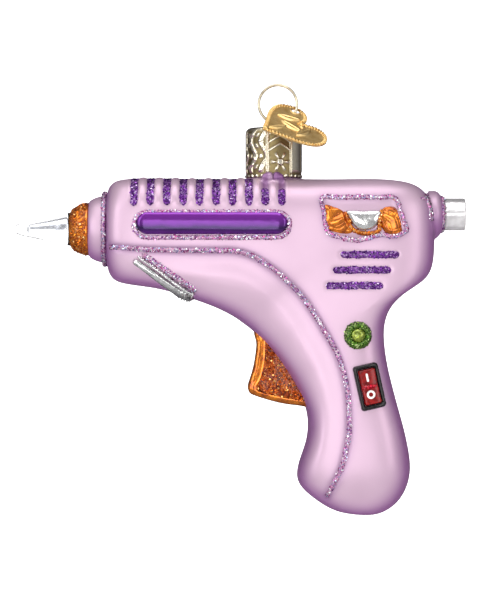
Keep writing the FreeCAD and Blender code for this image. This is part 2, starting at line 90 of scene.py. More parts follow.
def applied(obj):
    # bakes the object's modifiers into its mesh
    graph = bpy.context.evaluated_depsgraph_get()
    mesh = bpy.data.meshes.new_from_object(obj.evaluated_get(graph))
    old = obj.data
    obj.modifiers.clear()
    obj.data = mesh
    bpy.data.meshes.remove(old)
    return obj


def turned(bm, profile, axisZ, steps=64):
    # spins (x, radius) points in mm about a line along X
    points = [bm.verts.new((x * mm, 0, (axisZ + r) * mm)) for x, r in profile]
    edges = [bm.edges.new(pair) for pair in zip(points, points[1:])]
    bmesh.ops.spin(bm, geom=points + edges, cent=(0, 0, axisZ * mm), axis=(1, 0, 0), angle=2 * math.pi,
                   steps=steps, use_merge=True)
    bmesh.ops.remove_doubles(bm, verts=bm.verts, dist=0.002 * mm)
    bmesh.ops.recalc_face_normals(bm, faces=bm.faces)


def rounded(profile, cuts=6):
    # a soft line through a few (x, radius) points, as the middle of a quadratic spline
    line = [profile[0]]
    for before, here, after in zip(profile, profile[1:], profile[2:]):
        a = ((before[0] + here[0]) / 2, (before[1] + here[1]) / 2)
        b = ((here[0] + after[0]) / 2, (here[1] + after[1]) / 2)
        if before == profile[0]:
            a = before
        if after == profile[-1]:
            b = after
        for k in range(cuts + 1):
            t = k / cuts
            u = 1 - t
            point = tuple(u * u * a[i] + 2 * u * t * here[i] + t * t * b[i] for i in (0, 1))
            if math.dist(point, line[-1]) > 0.01:
                line.append(point)
    return line


# the blown skin

skinShape = {
    # (front x, z), (back x, z) as shares, depth share, squareness
    "stations": [
        ((0.000, 0.2610), (0.000, 0.0356), 0.69, 2.0),
        ((0.008, 0.2834), (0.008, 0.0208), 0.77, 2.3),
        ((0.022, 0.3012), (0.022, 0.0075), 0.86, 2.8),
        ((0.046, 0.3101), (0.046, 0.0010), 0.93, 3.3),
        ((0.095, 0.3160), (0.095, 0.0000), 0.98, 3.7),
        ((0.160, 0.3255), (0.180, 0.0000), 1.00, 3.8),
        ((0.220, 0.3422), (0.285, 0.0000), 1.00, 3.8),
        ((0.281, 0.3622), (0.420, 0.0000), 1.00, 3.8),
        ((0.326, 0.3790), (0.560, 0.0000), 1.00, 3.8),
        ((0.358, 0.3939), (0.697, 0.0000), 1.00, 3.8),
        ((0.388, 0.4092), (0.818, 0.0000), 0.99, 3.8),
        ((0.407, 0.4225), (0.902, 0.0036), 0.97, 3.8),
        ((0.422, 0.4331), (0.950, 0.0180), 0.95, 3.8),
        ((0.435, 0.4422), (0.982, 0.0475), 0.94, 3.8),
        ((0.447, 0.4532), (0.997, 0.1020), 0.93, 3.8),
        ((0.459, 0.4648), (1.000, 0.1740), 0.92, 3.8),
        ((0.471, 0.4763), (0.999, 0.2360), 0.92, 3.7),
        ((0.484, 0.4894), (0.988, 0.2810), 0.91, 3.6),
        ((0.501, 0.5083), (0.955, 0.3100), 0.91, 3.5),
        ((0.523, 0.5356), (0.907, 0.3370), 0.90, 3.4),
        ((0.549, 0.5712), (0.867, 0.3740), 0.90, 3.3),
        ((0.572, 0.6095), (0.849, 0.4140), 0.90, 3.2),
        ((0.590, 0.6410), (0.844, 0.4560), 0.90, 3.2),
        ((0.603, 0.6690), (0.848, 0.5040), 0.90, 3.2),
        ((0.612, 0.7005), (0.857, 0.5600), 0.90, 3.2),
        ((0.615, 0.7400), (0.873, 0.6250), 0.91, 3.2),
        ((0.607, 0.7850), (0.898, 0.7110), 0.92, 3.2),
        ((0.586, 0.8350), (0.920, 0.7920), 0.92, 3.2),
        ((0.577, 0.8770), (0.930, 0.8530), 0.91, 3.1),
        ((0.586, 0.9060), (0.919, 0.9070), 0.86, 3.0),
        ((0.617, 0.9360), (0.891, 0.9550), 0.76, 2.8),
        ((0.663, 0.9690), (0.852, 0.9840), 0.58, 2.5),
        ((0.712, 0.9910), (0.809, 0.9985), 0.32, 2.2),
    ],
    "dome": [(-4.1, 6.3), (-3.08, 7.03), (-1.64, 7.43), (0.0, 7.9), (1.5, 7.9)],
    "boss": [(-1.5, 5.4), (0.0, 5.4), (0.54, 5.4), (1.26, 4.53), (1.8, 3.8)],
    "lumps": (-1.2, 8.15, 1.375, 1.3),   # middle x, distance from the cap's axis, half spread, radius
    "grain": 0.40,                      # remesh size, mm
    "softening": 5,
}


def skinLoft(bm):
    rings = []
    for front, back, depth, squareness in skinShape["stations"]:
        a = Vector((place(*front)[0], 0, place(*front)[1]))
        b = Vector((place(*back)[0], 0, place(*back)[1]))
        along = (b - a).normalized()
        half = (b - a).length / 2
        ring = bmesh.ops.create_circle(bm, segments=gun["ringPoints"], radius=1)["verts"]
        for k, v in enumerate(ring):
            turn = 2 * math.pi * k / len(ring)
            c, s = math.cos(turn), math.sin(turn)
            reach = math.copysign(abs(c) ** (2 / squareness), c) * half
            side = math.copysign(abs(s) ** (2 / squareness), s) * depth * gun["halfDepth"]
            v.co = ((a + b) / 2 + along * reach + Vector((0, side, 0))) * mm
        rings.append(ring)
    for low, high in zip(rings, rings[1:]):
        # ring to ring by number, so that the fan at the hand's back can't twist
        for k in range(len(low)):
            bm.faces.new((low[k - 1], low[k], high[k], high[k - 1]))
    bmesh.ops.holes_fill(bm, edges=[e for e in bm.edges if e.is_boundary], sides=0)
    bmesh.ops.recalc_face_normals(bm, faces=bm.faces)


def blowSkin():
    loft = bmesh.new()
    skinLoft(loft)
    cage = toMesh(loft, "skinCage")
    smooth = cage.modifiers.new("smooth", "SUBSURF")
    smooth.levels = smooth.render_levels = 3
    applied(cage)
    bm = bmesh.new()
    bm.from_mesh(cage.data)
    bpy.data.objects.remove(cage)
    noseX, rearX = gun["noseX"], gun["noseX"] + gun["length"]
    extra = bmesh.new()
    for points, start, drop in ((skinShape["dome"], noseX, gun["nozzleDrop"]),
                                (skinShape["boss"], rearX, gun["bossDrop"])):
        part = bmesh.new()
        line = rounded([(start + x, r) for x, r in points])
        turned(part, [(line[0][0], 0)] + line + [(line[-1][0], 0)], gun["topZ"] - drop, 96)
        mesh = bpy.data.meshes.new("part")
        part.to_mesh(mesh)
        extra.from_mesh(mesh)
        part.free()
    # flat landing under the cap; the neck's tube is spun later, in neckTube
    landing = bmesh.ops.create_cone(extra, cap_ends=True, segments=96, radius1=6.75 * mm, radius2=6.75 * mm,
                                    depth=2 * mm,
                                    matrix=Matrix.Translation(Vector((gun["neckX"], 0,
                                            gun["topZ"] - 0.85)) * mm))
    bmesh.ops.bevel(extra, geom=[e for e in extra.edges if e.verts[0] in landing["verts"]
                                 and e.calc_face_angle(0) > 1],
                    offset=0.12 * mm, segments=2, affect="EDGES", profile=0.5, material=-1)
    middle, away, spread, r = skinShape["lumps"]
    for side in (-1, 1):
        for step in (-spread, spread):
            at = Vector((middle + step, side * away, gun["topZ"] + 0.15)) * mm
            bmesh.ops.create_icosphere(extra, subdivisions=3, radius=r * mm, matrix=Matrix.Translation(at))
    mesh = bpy.data.meshes.new("extra")
    extra.to_mesh(mesh)
    extra.free()
    bm.from_mesh(mesh)
    skin = toMesh(bm, "glassSkin")
    melt = skin.modifiers.new("melt", "REMESH")
    melt.mode = "VOXEL"
    melt.voxel_size = skinShape["grain"] * mm
    melt.adaptivity = 0
    soften = skin.modifiers.new("soften", "SMOOTH")
    soften.factor = 0.5
    soften.iterations = skinShape["softening"]
    applied(skin)
    return skin


skin = blowSkin()
print("skin", len(skin.data.vertices), "points", len(skin.data.polygons), "faces")


# finishes

class Value:
    # a shader socket that maths can be written with
    def __init__(self, tree, socket):
        self.tree = tree
        self.socket = socket

    def maths(self, operation, a, b):
        node = self.tree.nodes.new("ShaderNodeMath")
        node.operation = operation
        for slotIn, v in zip(node.inputs, (a, b)):
            if isinstance(v, Value):
                self.tree.links.new(v.socket, slotIn)
            else:
                slotIn.default_value = v
        return Value(self.tree, node.outputs[0])

    def __add__(self, other):
        return self.maths("ADD", self, other)

    def __radd__(self, other):
        return self.maths("ADD", other, self)

    def __sub__(self, other):
        return self.maths("SUBTRACT", self, other)

    def __rsub__(self, other):
        return self.maths("SUBTRACT", other, self)

    def __mul__(self, other):
        return self.maths("MULTIPLY", self, other)

    def __rmul__(self, other):
        return self.maths("MULTIPLY", other, self)


class Finish:
    # one material and its nodes
    def __init__(self, name, **constants):
        self.material = bpy.data.materials.new(name)
        self.material.use_nodes = True
        self.tree = self.material.node_tree
        self.shader = self.tree.nodes["Principled BSDF"]
        for key, v in constants.items():
            self.shader.inputs[key.replace("_", " ")].default_value = v

    def add(self, kind, settings=None, inputs=None, out=0):
        node = self.tree.nodes.new(kind)
        for key, v in (settings or {}).items():
            if key == "stops":
                ramp = node.color_ramp
                while len(ramp.elements) < len(v):
                    ramp.elements.new(0.5)
                for element, (at, colour) in zip(ramp.elements, v):
                    element.position = at
                    element.color = (*colour, 1)
            elif key == "interpolation":
                node.color_ramp.interpolation = v
            else:
                setattr(node, key, v)
        for key, v in (inputs or {}).items():
            if isinstance(v, Value):
                self.tree.links.new(v.socket, node.inputs[key])
            else:
                node.inputs[key].default_value = v
        return Value(self.tree, node.outputs[out])

    def put(self, **links):
        for key, v in links.items():
            self.tree.links.new(v.socket, self.shader.inputs[key.replace("_", " ")])
        return self

    def spot(self):
        return self.add("ShaderNodeTexCoord", out=3)

    def noise(self, size, detail=2.0, where=None):
        # size is the feature's width in mm
        return self.add("ShaderNodeTexNoise", {},
                        {"Vector": where or self.spot(), "Scale": 1 / (size * mm), "Detail": detail})

    def cells(self, size, out=1, where=None, feature="F1"):
        return self.add("ShaderNodeTexVoronoi", {"feature": feature},
                        {"Vector": where or self.spot(), "Scale": 1 / (size * mm)}, out)

    def ramp(self, factor, *stops, how="LINEAR"):
        return self.add("ShaderNodeValToRGB", {"stops": stops, "interpolation": how}, {"Fac": factor})

    def mixed(self, factor, a, b):
        return self.add("ShaderNodeMix", {"data_type": "RGBA"}, {0: factor, 6: a, 7: b}, 2)

    def bump(self, height, distance, strength=1.0):
        return self.add("ShaderNodeBump", {},
                        {"Height": height, "Distance": distance * mm, "Strength": strength})


def shade(*rgb):
    return (*rgb, 1)


def lilacLacquer():
    f = Finish("lilacLacquer", Metallic=0.5, Coat_Roughness=0.3, Coat_IOR=1.5)
    # painted light and shade: a mask from the skin's facing, high on the flanks, low on the rims, the top and
    # the rear face
    flank = f.add("ShaderNodeAttribute", {"attribute_name": "flank"}, out=2)
    # painted shade: a mask of dark colour in the seam crease, the rib grooves, round the window, at the nose
    # and round the cap
    pool = f.add("ShaderNodeAttribute", {"attribute_name": "pool"}, out=2)
    cloud = f.noise(9)
    fine = f.noise(0.35, 3)
    body = f.mixed(cloud, shade(0.53, 0.36, 0.47), shade(0.62, 0.44, 0.555))
    # painted shade: where that mask is low, the rims and the rear face are painted deep purple
    edge = f.mixed(flank, shade(0.31, 0.13, 0.32), body)
    # painted shade: dark purple painted where that mask is high
    colour = f.mixed(pool, edge, shade(0.17, 0.045, 0.20))
    f.put(Base_Color=colour, Roughness=0.34 + cloud * 0.12 + fine * 0.05, Normal=f.bump(fine, 0.006))
    f.shader.inputs["Coat Weight"].default_value = 0.15
    return f.material


def lacquer(name, light, dark, roughness=0.12, metallic=0.7, coat=0.8, wave=2.0, waveHeight=0.05):
    # glossy transparent colour over silvered glass, uneven where it pooled
    f = Finish(name, Metallic=metallic, Coat_Weight=coat, Coat_Roughness=0.04)
    lacquerPoolsAndShade = f.noise(wave, 3)
    colour = f.ramp(lacquerPoolsAndShade, (0.3, dark), (0.65, light))
    f.put(Base_Color=colour, Roughness=roughness + lacquerPoolsAndShade * 0.08, Normal=f.bump(lacquerPoolsAndShade, waveHeight))
    return f.material


def violetLacquer():
    f = Finish("violetLacquer", Metallic=0.6, Coat_Weight=0.35, Coat_Roughness=0.12)
    drop = (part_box("side_bars")[0].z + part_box("side_bars")[1].z) / 2
    # painted reflection: bands by height, lightest purple at the top, darkest just below the middle, mid
    # purple at the bottom, as a glossy round bar mirrors a bright top and a dark horizon
    height = f.add("ShaderNodeSeparateXYZ", {}, {"Vector": f.spot()}, 2)
    band = f.ramp((height - drop) * 190 + 0.5 + f.noise(3) * 0.16, (0.05, (0.12, 0.010, 0.22)),
                  (0.36, (0.020, 0.003, 0.06)),
                  (0.55, (0.10, 0.009, 0.19)), (0.85, (0.19, 0.018, 0.31)))
    f.put(Base_Color=band, Roughness=0.12 + f.noise(0.8) * 0.08, Normal=f.bump(f.noise(2.5), 0.05))
    return f.material


def silveredGlass():
    f = Finish("silveredGlass", Metallic=0.0, IOR=1.47, Transmission_Weight=1.0)
    f.put(Base_Color=f.ramp(f.noise(2), (0.3, (0.93, 0.94, 0.96)), (0.7, (1.0, 1.0, 1.0))),
          Roughness=0.02 + f.noise(1.2) * 0.05,
          Normal=f.bump(f.noise(3), 0.05))
    return f.material


def mirrorSilver():
    f = Finish("mirrorSilver", Metallic=1.0)
    tarnish = f.noise(1.6, 4)
    f.put(Base_Color=f.ramp(tarnish, (0.25, (0.62, 0.62, 0.66)), (0.6, (0.90, 0.91, 0.94))),
          Roughness=0.16 + tarnish * 0.16)
    return f.material


def enamel(name, colour, deep, roughness=0.15):
    f = Finish(name, Metallic=0.0, Coat_Weight=0.25, Coat_Roughness=0.04)
    f.shader.inputs["Specular IOR Level"].default_value = 0.25
    brush = f.noise(0.9, 3)
    f.put(Base_Color=f.ramp(brush, (0.3, deep), (0.6, colour)), Roughness=roughness + brush * 0.15,
          Normal=f.bump(brush, 0.04))
    return f.material


def glue(name, size, *tints):
    # the bed of fine glitter: each cell a small facet with its own colour, on a fine bumpy surface
    f = Finish(name, Metallic=0.75, Coat_Weight=0.4, Coat_Roughness=0.1)
    cell = f.cells(size)
    pick = f.add("ShaderNodeSeparateColor", {}, {"Color": cell}, 0)
    stops = [(k / len(tints), tint) for k, tint in enumerate(tints)]
    f.put(Base_Color=f.ramp(pick, *stops, how="CONSTANT"), Roughness=0.22 + pick * 0.3,
          Normal=f.bump(f.noise(size * 0.5, 2), size * 0.5))
    return f.material


def flakes(name, *tints, metallic=0.9):
    f = Finish(name, Metallic=metallic)
    tint = f.add("ShaderNodeAttribute", {"attribute_name": "tint"}, out=2)
    stops = [(k / len(tints), colour) for k, colour in enumerate(tints)]
    f.put(Base_Color=f.ramp(tint, *stops, how="CONSTANT"), Roughness=0.12 + f.noise(0.6) * 0.2)
    return f.material


def plated(name, light, dark, roughness=0.16, scale=1.5, brushed=0.02):
    f = Finish(name, Metallic=1.0)
    wear = f.noise(scale, 4)
    fine = f.noise(0.12, 2)
    f.put(Base_Color=f.ramp(wear, (0.3, dark), (0.65, light)), Roughness=roughness + wear * 0.12,
          Normal=f.bump(fine, brushed))
    return f.material


def capMetal():
    f = Finish("capMetal", Metallic=1.0)
    # drawn darker where the stamped pattern is low, and partly darker inside and on the middle of the top
    lowPartsDark = f.add("ShaderNodeAttribute", {"attribute_name": "hollow"}, out=2)
    worn = f.noise(0.8, 3)
    f.put(Base_Color=f.mixed(lowPartsDark, f.mixed(worn, shade(0.84, 0.74, 0.54), shade(0.98, 0.92, 0.78)),
                             shade(0.27, 0.21, 0.10)),
          Roughness=0.14 + lowPartsDark * 0.25 + worn * 0.08, Normal=f.bump(f.noise(0.25), 0.015))
    return f.material


finishes = {
    "lilac": lilacLacquer(),
    "violet": violetLacquer(),
    "copper": lacquer("copperLacquer", (0.86, 0.25, 0.014), (0.34, 0.06, 0.006), metallic=0.8, coat=0.6,
                      wave=1.6, waveHeight=0.12),
    "silver": lacquer("silverLacquer", (0.84, 0.84, 0.83), (0.50, 0.50, 0.50), roughness=0.14, metallic=0.9,
                      wave=1.4, waveHeight=0.15),
    "pearl": lacquer("pearlLacquer", (0.90, 0.88, 0.88), (0.66, 0.64, 0.64), roughness=0.14, metallic=0.6,
                     wave=1.8, waveHeight=0.2),
    "green": lacquer("greenLacquer", (0.36, 0.42, 0.05), (0.10, 0.16, 0.015), wave=0.7, waveHeight=0.2),
    "glass": silveredGlass(),
    "mirror": mirrorSilver(),
    "black": enamel("blackEnamel", (0.010, 0.009, 0.010), (0.003, 0.003, 0.003)),
    "red": enamel("redEnamel", (0.24, 0.006, 0.006), (0.08, 0.002, 0.003)),
    "white": enamel("whitePaint", (0.86, 0.86, 0.84), (0.66, 0.65, 0.63)),
    "purpleBed": glue("purpleBed", 0.28, (0.08, 0.010, 0.15), (0.14, 0.022, 0.24), (0.045, 0.006, 0.10),
                      (0.24, 0.06, 0.36),
                      (0.10, 0.014, 0.19), (0.42, 0.24, 0.52)),
    "purpleFlakes": flakes("purpleFlakes", (0.11, 0.015, 0.21), (0.18, 0.035, 0.31), (0.06, 0.008, 0.14),
                           (0.30, 0.10, 0.44),
                           (0.13, 0.02, 0.25), (0.15, 0.03, 0.27), (0.08, 0.012, 0.16), (0.60, 0.45, 0.70)),
    "iceBed": glue("iceBed", 0.28, (0.44, 0.20, 0.38), (0.60, 0.36, 0.52), (0.26, 0.08, 0.26),
                   (0.62, 0.30, 0.46),
                   (0.36, 0.30, 0.52), (0.75, 0.66, 0.72)),
    "iceFlakes": flakes("iceFlakes", (0.92, 0.88, 0.92), (0.55, 0.22, 0.44), (0.55, 0.60, 0.82),
                        (0.40, 0.16, 0.36),
                        (0.80, 0.42, 0.62), (0.24, 0.08, 0.28), (0.90, 0.90, 0.95), (0.48, 0.10, 0.30)),
    "copperBed": glue("copperBed", 0.26, (0.66, 0.17, 0.012), (0.42, 0.08, 0.008), (0.80, 0.27, 0.03),
                      (0.30, 0.05, 0.006)),
    "copperFlakes": flakes("copperFlakes", (0.80, 0.26, 0.02), (0.55, 0.12, 0.01), (0.38, 0.07, 0.008),
                           (0.95, 0.55, 0.22), (0.66, 0.16, 0.012)),
    "rustBed": glue("rustBed", 0.34, (0.42, 0.07, 0.006), (0.26, 0.035, 0.004), (0.56, 0.12, 0.01),
                    (0.15, 0.02, 0.003)),
    "rustFlakes": flakes("rustFlakes", (0.62, 0.15, 0.012), (0.36, 0.05, 0.006), (0.24, 0.03, 0.004),
                         (0.92, 0.46, 0.14),
                         (0.48, 0.08, 0.008)),
    "greenBed": glue("greenBed", 0.26, (0.05, 0.13, 0.01), (0.10, 0.21, 0.02), (0.025, 0.07, 0.006),
                     (0.20, 0.32, 0.07)),
    "greenFlakes": flakes("greenFlakes", (0.08, 0.20, 0.02), (0.18, 0.32, 0.05), (0.03, 0.08, 0.01),
                          (0.46, 0.58, 0.24), (0.05, 0.12, 0.012)),
    "redBed": glue("redBed", 0.26, (0.50, 0.01, 0.02), (0.80, 0.05, 0.08), (0.30, 0.0, 0.01)),
    "redFlakes": flakes("redFlakes", (0.75, 0.02, 0.05), (0.95, 0.25, 0.30), (0.45, 0.0, 0.02)),
    "cap": capMetal(),
    "wire": plated("wireGold", (0.78, 0.70, 0.52), (0.40, 0.34, 0.25), scale=1.2),
    "tag": plated("tagGold", (0.95, 0.68, 0.30), (0.80, 0.51, 0.18), roughness=0.30, scale=1.4, brushed=0.05),
}
print("finishes", len(finishes))

# lines on the gun's side

lines = {
    "seam": [
        (0.012, 0.203), (0.131, 0.212), (0.299, 0.215), (0.385, 0.216), (0.439, 0.229), (0.481, 0.252),
        (0.522, 0.281),
        (0.558, 0.314), (0.595, 0.352), (0.630, 0.401), (0.662, 0.452), (0.690, 0.500), (0.709, 0.544),
        (0.724, 0.596),
        (0.731, 0.653), (0.733, 0.728), (0.728, 0.776), (0.712, 0.840), (0.692, 0.886), (0.666, 0.936),
    ],
    "window": [
        (0.651, 0.061), (0.700, 0.060), (0.760, 0.059), (0.820, 0.060), (0.870, 0.061), (0.888, 0.101),
        (0.898, 0.129),
        (0.904, 0.156), (0.870, 0.174), (0.831, 0.169), (0.785, 0.180), (0.748, 0.185), (0.711, 0.177),
        (0.674, 0.166),
        (0.659, 0.129), (0.657, 0.102),
    ],
    "leftFacet": [
        (0.658, 0.085), (0.687, 0.088), (0.715, 0.101), (0.730, 0.129), (0.744, 0.156), (0.730, 0.166),
        (0.693, 0.162),
        (0.669, 0.149),
    ],
    "rightFacet": [
        (0.834, 0.092), (0.870, 0.088), (0.883, 0.114), (0.890, 0.141), (0.888, 0.162), (0.849, 0.166),
        (0.831, 0.149),
        (0.826, 0.129),
    ],
    "stick": [
        (0.724, 0.099), (0.775, 0.098), (0.828, 0.099), (0.826, 0.117), (0.818, 0.138), (0.800, 0.153),
        (0.773, 0.156),
        (0.748, 0.145), (0.730, 0.117),
    ],
    "copper": [
        (0.719, 0.101), (0.730, 0.129), (0.746, 0.154), (0.782, 0.165), (0.819, 0.158), (0.825, 0.129),
        (0.832, 0.095),
    ],
    "boss": [(0.970, 0.045), (0.977, 0.077), (0.983, 0.108), (0.983, 0.128)],
    "trigger": [
        (0.454, 0.440), (0.456, 0.491), (0.448, 0.549), (0.438, 0.585), (0.429, 0.614), (0.433, 0.630),
        (0.441, 0.637),
        (0.483, 0.651), (0.530, 0.663), (0.575, 0.669), (0.640, 0.671), (0.660, 0.600), (0.620, 0.500),
        (0.545, 0.415),
    ],
    "triggerPanel": [
        (0.492, 0.470), (0.486, 0.521), (0.481, 0.559), (0.470, 0.595), (0.458, 0.620), (0.498, 0.633),
        (0.559, 0.645),
        (0.612, 0.648), (0.606, 0.600), (0.585, 0.550), (0.560, 0.505), (0.530, 0.470),
    ],
}


def softLine(points, closed=False, step=0.35):
    # an even walk along a soft curve through the points
    count = len(points)
    walk = []
    for i in range(count if closed else count - 1):
        if closed:
            p = [Vector(points[(i + k) % count]) for k in (-1, 0, 1, 2)]
        else:
            p = [Vector(points[min(max(i + k, 0), count - 1)]) for k in (-1, 0, 1, 2)]
        for j in range(12):
            t = j / 12
            walk.append(0.5 * (2 * p[1] + (p[2] - p[0]) * t + (2 * p[0] - 5 * p[1] + 4 * p[2] - p[3]) * t * t
                               + (3 * p[1] - p[0] - 3 * p[2] + p[3]) * t ** 3))
    walk.append(Vector(points[0] if closed else points[-1]))
    lengths = [0.0]
    for a, b in zip(walk, walk[1:]):
        lengths.append(lengths[-1] + (b - a).length)
    total = max(2, round(lengths[-1] / step))
    even, i = [], 0
    for k in range(total + 1):
        want = lengths[-1] * k / total
        while i < len(lengths) - 2 and lengths[i + 1] < want:
            i += 1
        t = (want - lengths[i]) / max(lengths[i + 1] - lengths[i], 1e-9)
        even.append(walk[i].lerp(walk[i + 1], t))
    return even


def onSide(name, closed=False, step=0.35):
    return softLine([place(*p) for p in lines[name]], closed, step)


def smoothStep(low, high, v):
    t = min(max((v - low) / (high - low), 0.0), 1.0)
    return t * t * (3 - 2 * t)


def insideLine(p, outline):
    # distance to a closed line, positive inside it
    inside, best = False, 1e9
    for a, b in zip(outline, outline[1:]):
        if (a.y > p.y) != (b.y > p.y) and p.x < (b.x - a.x) * (p.y - a.y) / (b.y - a.y) + a.x:
            inside = not inside
        edge = b - a
        t = min(max((p - a).dot(edge) / max(edge.length_squared, 1e-12), 0), 1)
        best = min(best, (p - a - edge * t).length)
    return best if inside else -best


def capsuleField(centre, length, width, slope=0.0):
    lean = math.radians(slope)
    along = Vector((math.cos(lean), -math.sin(lean)))
    half = along * (length - width) / 2

    def field(p):
        t = min(max((p - centre + half).dot(half) / max(2 * half.length_squared, 1e-9), 0), 1)
        return width / 2 - (p - centre + half - half * 2 * t).length
    return field


def slabField(centre, width, length, corner, tilt):
    lean = math.radians(tilt)
    up = Vector((-math.sin(lean), math.cos(lean)))
    across = Vector((math.cos(lean), math.sin(lean)))

    def field(p):
        x = abs((p - centre).dot(across)) - width / 2 + corner
        y = abs((p - centre).dot(up)) - length / 2 + corner
        return corner - math.hypot(max(x, 0), max(y, 0)) - min(max(x, y), 0)
    return field


ribShape = {"count": 10, "pitch": 3.65, "first": 0.0885, "width": 1.75, "reach": 13.9, "depth": 0.36,
            "hub": 13.0}
ventShape = {"share": 0.705, "lean": 1.6, "drop": 17.3, "pitch": 3.45, "length": 13.4, "width": 1.6,
             "taper": 0.2, "glitterEnd": 13.3}


def ventFront(k):
    # the front end of a vent, each one leaning further forward than the one above
    return (place(ventShape["share"], 0)[0] - k * ventShape["lean"],
            gun["topZ"] - ventShape["drop"] - k * ventShape["pitch"])


vents = []
for row in range(3):
    ventX, ventZ = ventFront(row)
    vents.append(capsuleField(Vector((ventX + ventShape["length"] / 2 - 0.1 * row, ventZ)),
                              ventShape["length"] - ventShape["taper"] * row, ventShape["width"]))
ribX = [place(ribShape["first"], 0)[0] + k * ribShape["pitch"] for k in range(ribShape["count"])]
ribLow = gun["topZ"] - 5.9


# relief in the glass

reliefShape = {"seamStep": 0.30, "seamCrease": 0.28, "window": 0.42, "vent": 0.22, "wander": 0.14,
               "ridge": 0.20, "blur": 60}


def shapeSkin(obj):
    # presses the relief into the skin and stores on its points the painted light and shade for the lilac
    # lacquer
    seam = onSide("seam", step=0.5)
    windowLine = onSide("window", True, 0.6)
    mesh = obj.data
    normals = [v.normal.copy() for v in mesh.vertices]
    flank = mesh.attributes.new("flank", "FLOAT", "POINT")
    pool = mesh.attributes.new("pool", "FLOAT", "POINT")
    crease = KDTree(len(seam))
    for i, p in enumerate(seam):
        crease.insert((p.x, p.y, 0), i)
    crease.balance()
    # how far each point faces the side, averaged over a few millimetres
    ends = numpy.empty(len(mesh.edges) * 2, dtype=numpy.int32)
    mesh.edges.foreach_get("vertices", ends)
    ends = ends.reshape(-1, 2)
    # painted light and shade by facing: the flanks are painted pale, the top a little less, and the rear face
    # darkest
    tone = numpy.array([abs(n.y) + 0.62 * max(n.z, 0) - 0.22 * max(n.x, 0) for n in normals])
    count = numpy.bincount(ends.ravel(), minlength=len(normals))
    for again in range(reliefShape["blur"]):
        total = numpy.bincount(ends[:, 0], tone[ends[:, 1]], len(normals)) + numpy.bincount(ends[:, 1],
                tone[ends[:, 0]], len(normals))
        tone = 0.5 * tone + 0.5 * total / count
    paintedLightValues, lacquerPoolsAndShade = [], []
    for v, n, facing in zip(mesh.vertices, normals, tone):
        x, y, z = v.co / mm
        side = smoothStep(0.25, 0.7, abs(n.y))
        move = noise.noise(Vector((x, y, z)) * 0.11) * reliefShape["wander"]
        # shadow collects painted shade: the seam crease, the rib grooves, the window's edge, the nose and a
        # ring round the cap; it also darkens the lumps by the cap, the rear one more
        shadow = 0.0
        i, away = crease.find((x, z, 0))[1:]
        if side > 0 and away < 6:
            ahead = seam[min(i + 1, len(seam) - 1)] - seam[max(i - 1, 0)]
            under = ahead.x * (z - seam[i].y) - ahead.y * (x - seam[i].x) < 0
            signed = -away if under else away
            fade = smoothStep(0.0, 3.0, x - gun["noseX"]) * smoothStep(0.0, 5.0, z - gun["topZ"] + 76)
            move -= side * fade * reliefShape["seamStep"] * smoothStep(0.9, -0.4, signed) * smoothStep(6,
                    2.5, away)
            move -= side * fade * reliefShape["seamCrease"] * math.exp(-(signed / 0.75) ** 2)
            shadow = max(shadow, 0.55 * side * math.exp(-(away / 1.3) ** 2))
        if z > ribLow - 1.2 and x < 2.5:
            for k, rx in enumerate(ribX):
                if abs(x - rx) < ribShape["pitch"] / 2 and math.hypot(x - gun["neckX"], y) > 7.0:
                    wave = math.cos((x - rx) / ribShape["pitch"] * 2 * math.pi)
                    fade = smoothStep(ribLow - 0.9, ribLow + 0.9, z)
                    if k == 0 and x < rx or k == 9 and x > rx:
                        fade *= smoothStep(1.8, 0.6, abs(x - rx))
                    move -= fade * (ribShape["depth"] * max(wave, -0.3) + reliefShape["ridge"] * min(wave, 0))
                    shadow = max(shadow, fade * 0.75 * smoothStep(-0.3, 0.7, wave))
        if side > 0 and z > gun["topZ"] - 16 and 7 < x < 31:
            inner = insideLine(Vector((x, z)), windowLine)
            move -= side * reliefShape["window"] * smoothStep(-0.2, 1.6, inner)
            shadow = max(shadow, 0.3 * side * math.exp(-(inner / 1.0) ** 2))
        if side > 0 and z < gun["topZ"] - 15 and 7 < x < 30:
            for field in vents:
                depth = field(Vector((x, z)))
                move -= side * reliefShape["vent"] * smoothStep(-0.5, 0.5, depth)
        shadow = max(shadow, 0.9 * smoothStep(1.2, 0.0, abs(x - gun["noseX"] + 0.2)))
        shadow = max(shadow, 0.5 * smoothStep(1.6, 0.2,
                abs(math.hypot(x - gun["neckX"], y) - 7.2)) * smoothStep(-22.5, -21, z))
        if z > gun["topZ"] - 0.6 and abs(abs(y) - 8.15) < 1.6 and abs(x + 1.2) < 2.9:
            shadow = max(shadow, 0.45 + 0.4 * smoothStep(-1.5, -0.5, x))
        v.co += n * move * mm
        # the blurred facing tone becomes the painted light mask
        paintedLightValues.append(smoothStep(0.30, 0.97, facing))
        # the painted shade mask for the lilac lacquer
        lacquerPoolsAndShade.append(shadow)
    flank.data.foreach_set("value", paintedLightValues)
    pool.data.foreach_set("value", lacquerPoolsAndShade)
    mesh.update()


def lining():
    # the silver inside the glass: the skin's own shape, one wall further in
    bm = bmesh.new()
    bm.from_mesh(skin.data)
    bm.normal_update()
    for v in bm.verts:
        v.co -= v.normal * 1.15 * mm
    obj = toMesh(bm, "silverLining", finishes["mirror"])
    melt = obj.modifiers.new("melt", "REMESH")
    melt.mode = "VOXEL"
    melt.voxel_size = 0.8 * mm
    applied(obj)
    obj.data.polygons.foreach_set("use_smooth", [True] * len(obj.data.polygons))
    finishPiece(obj, "glass", "silvering", "silver_lining")


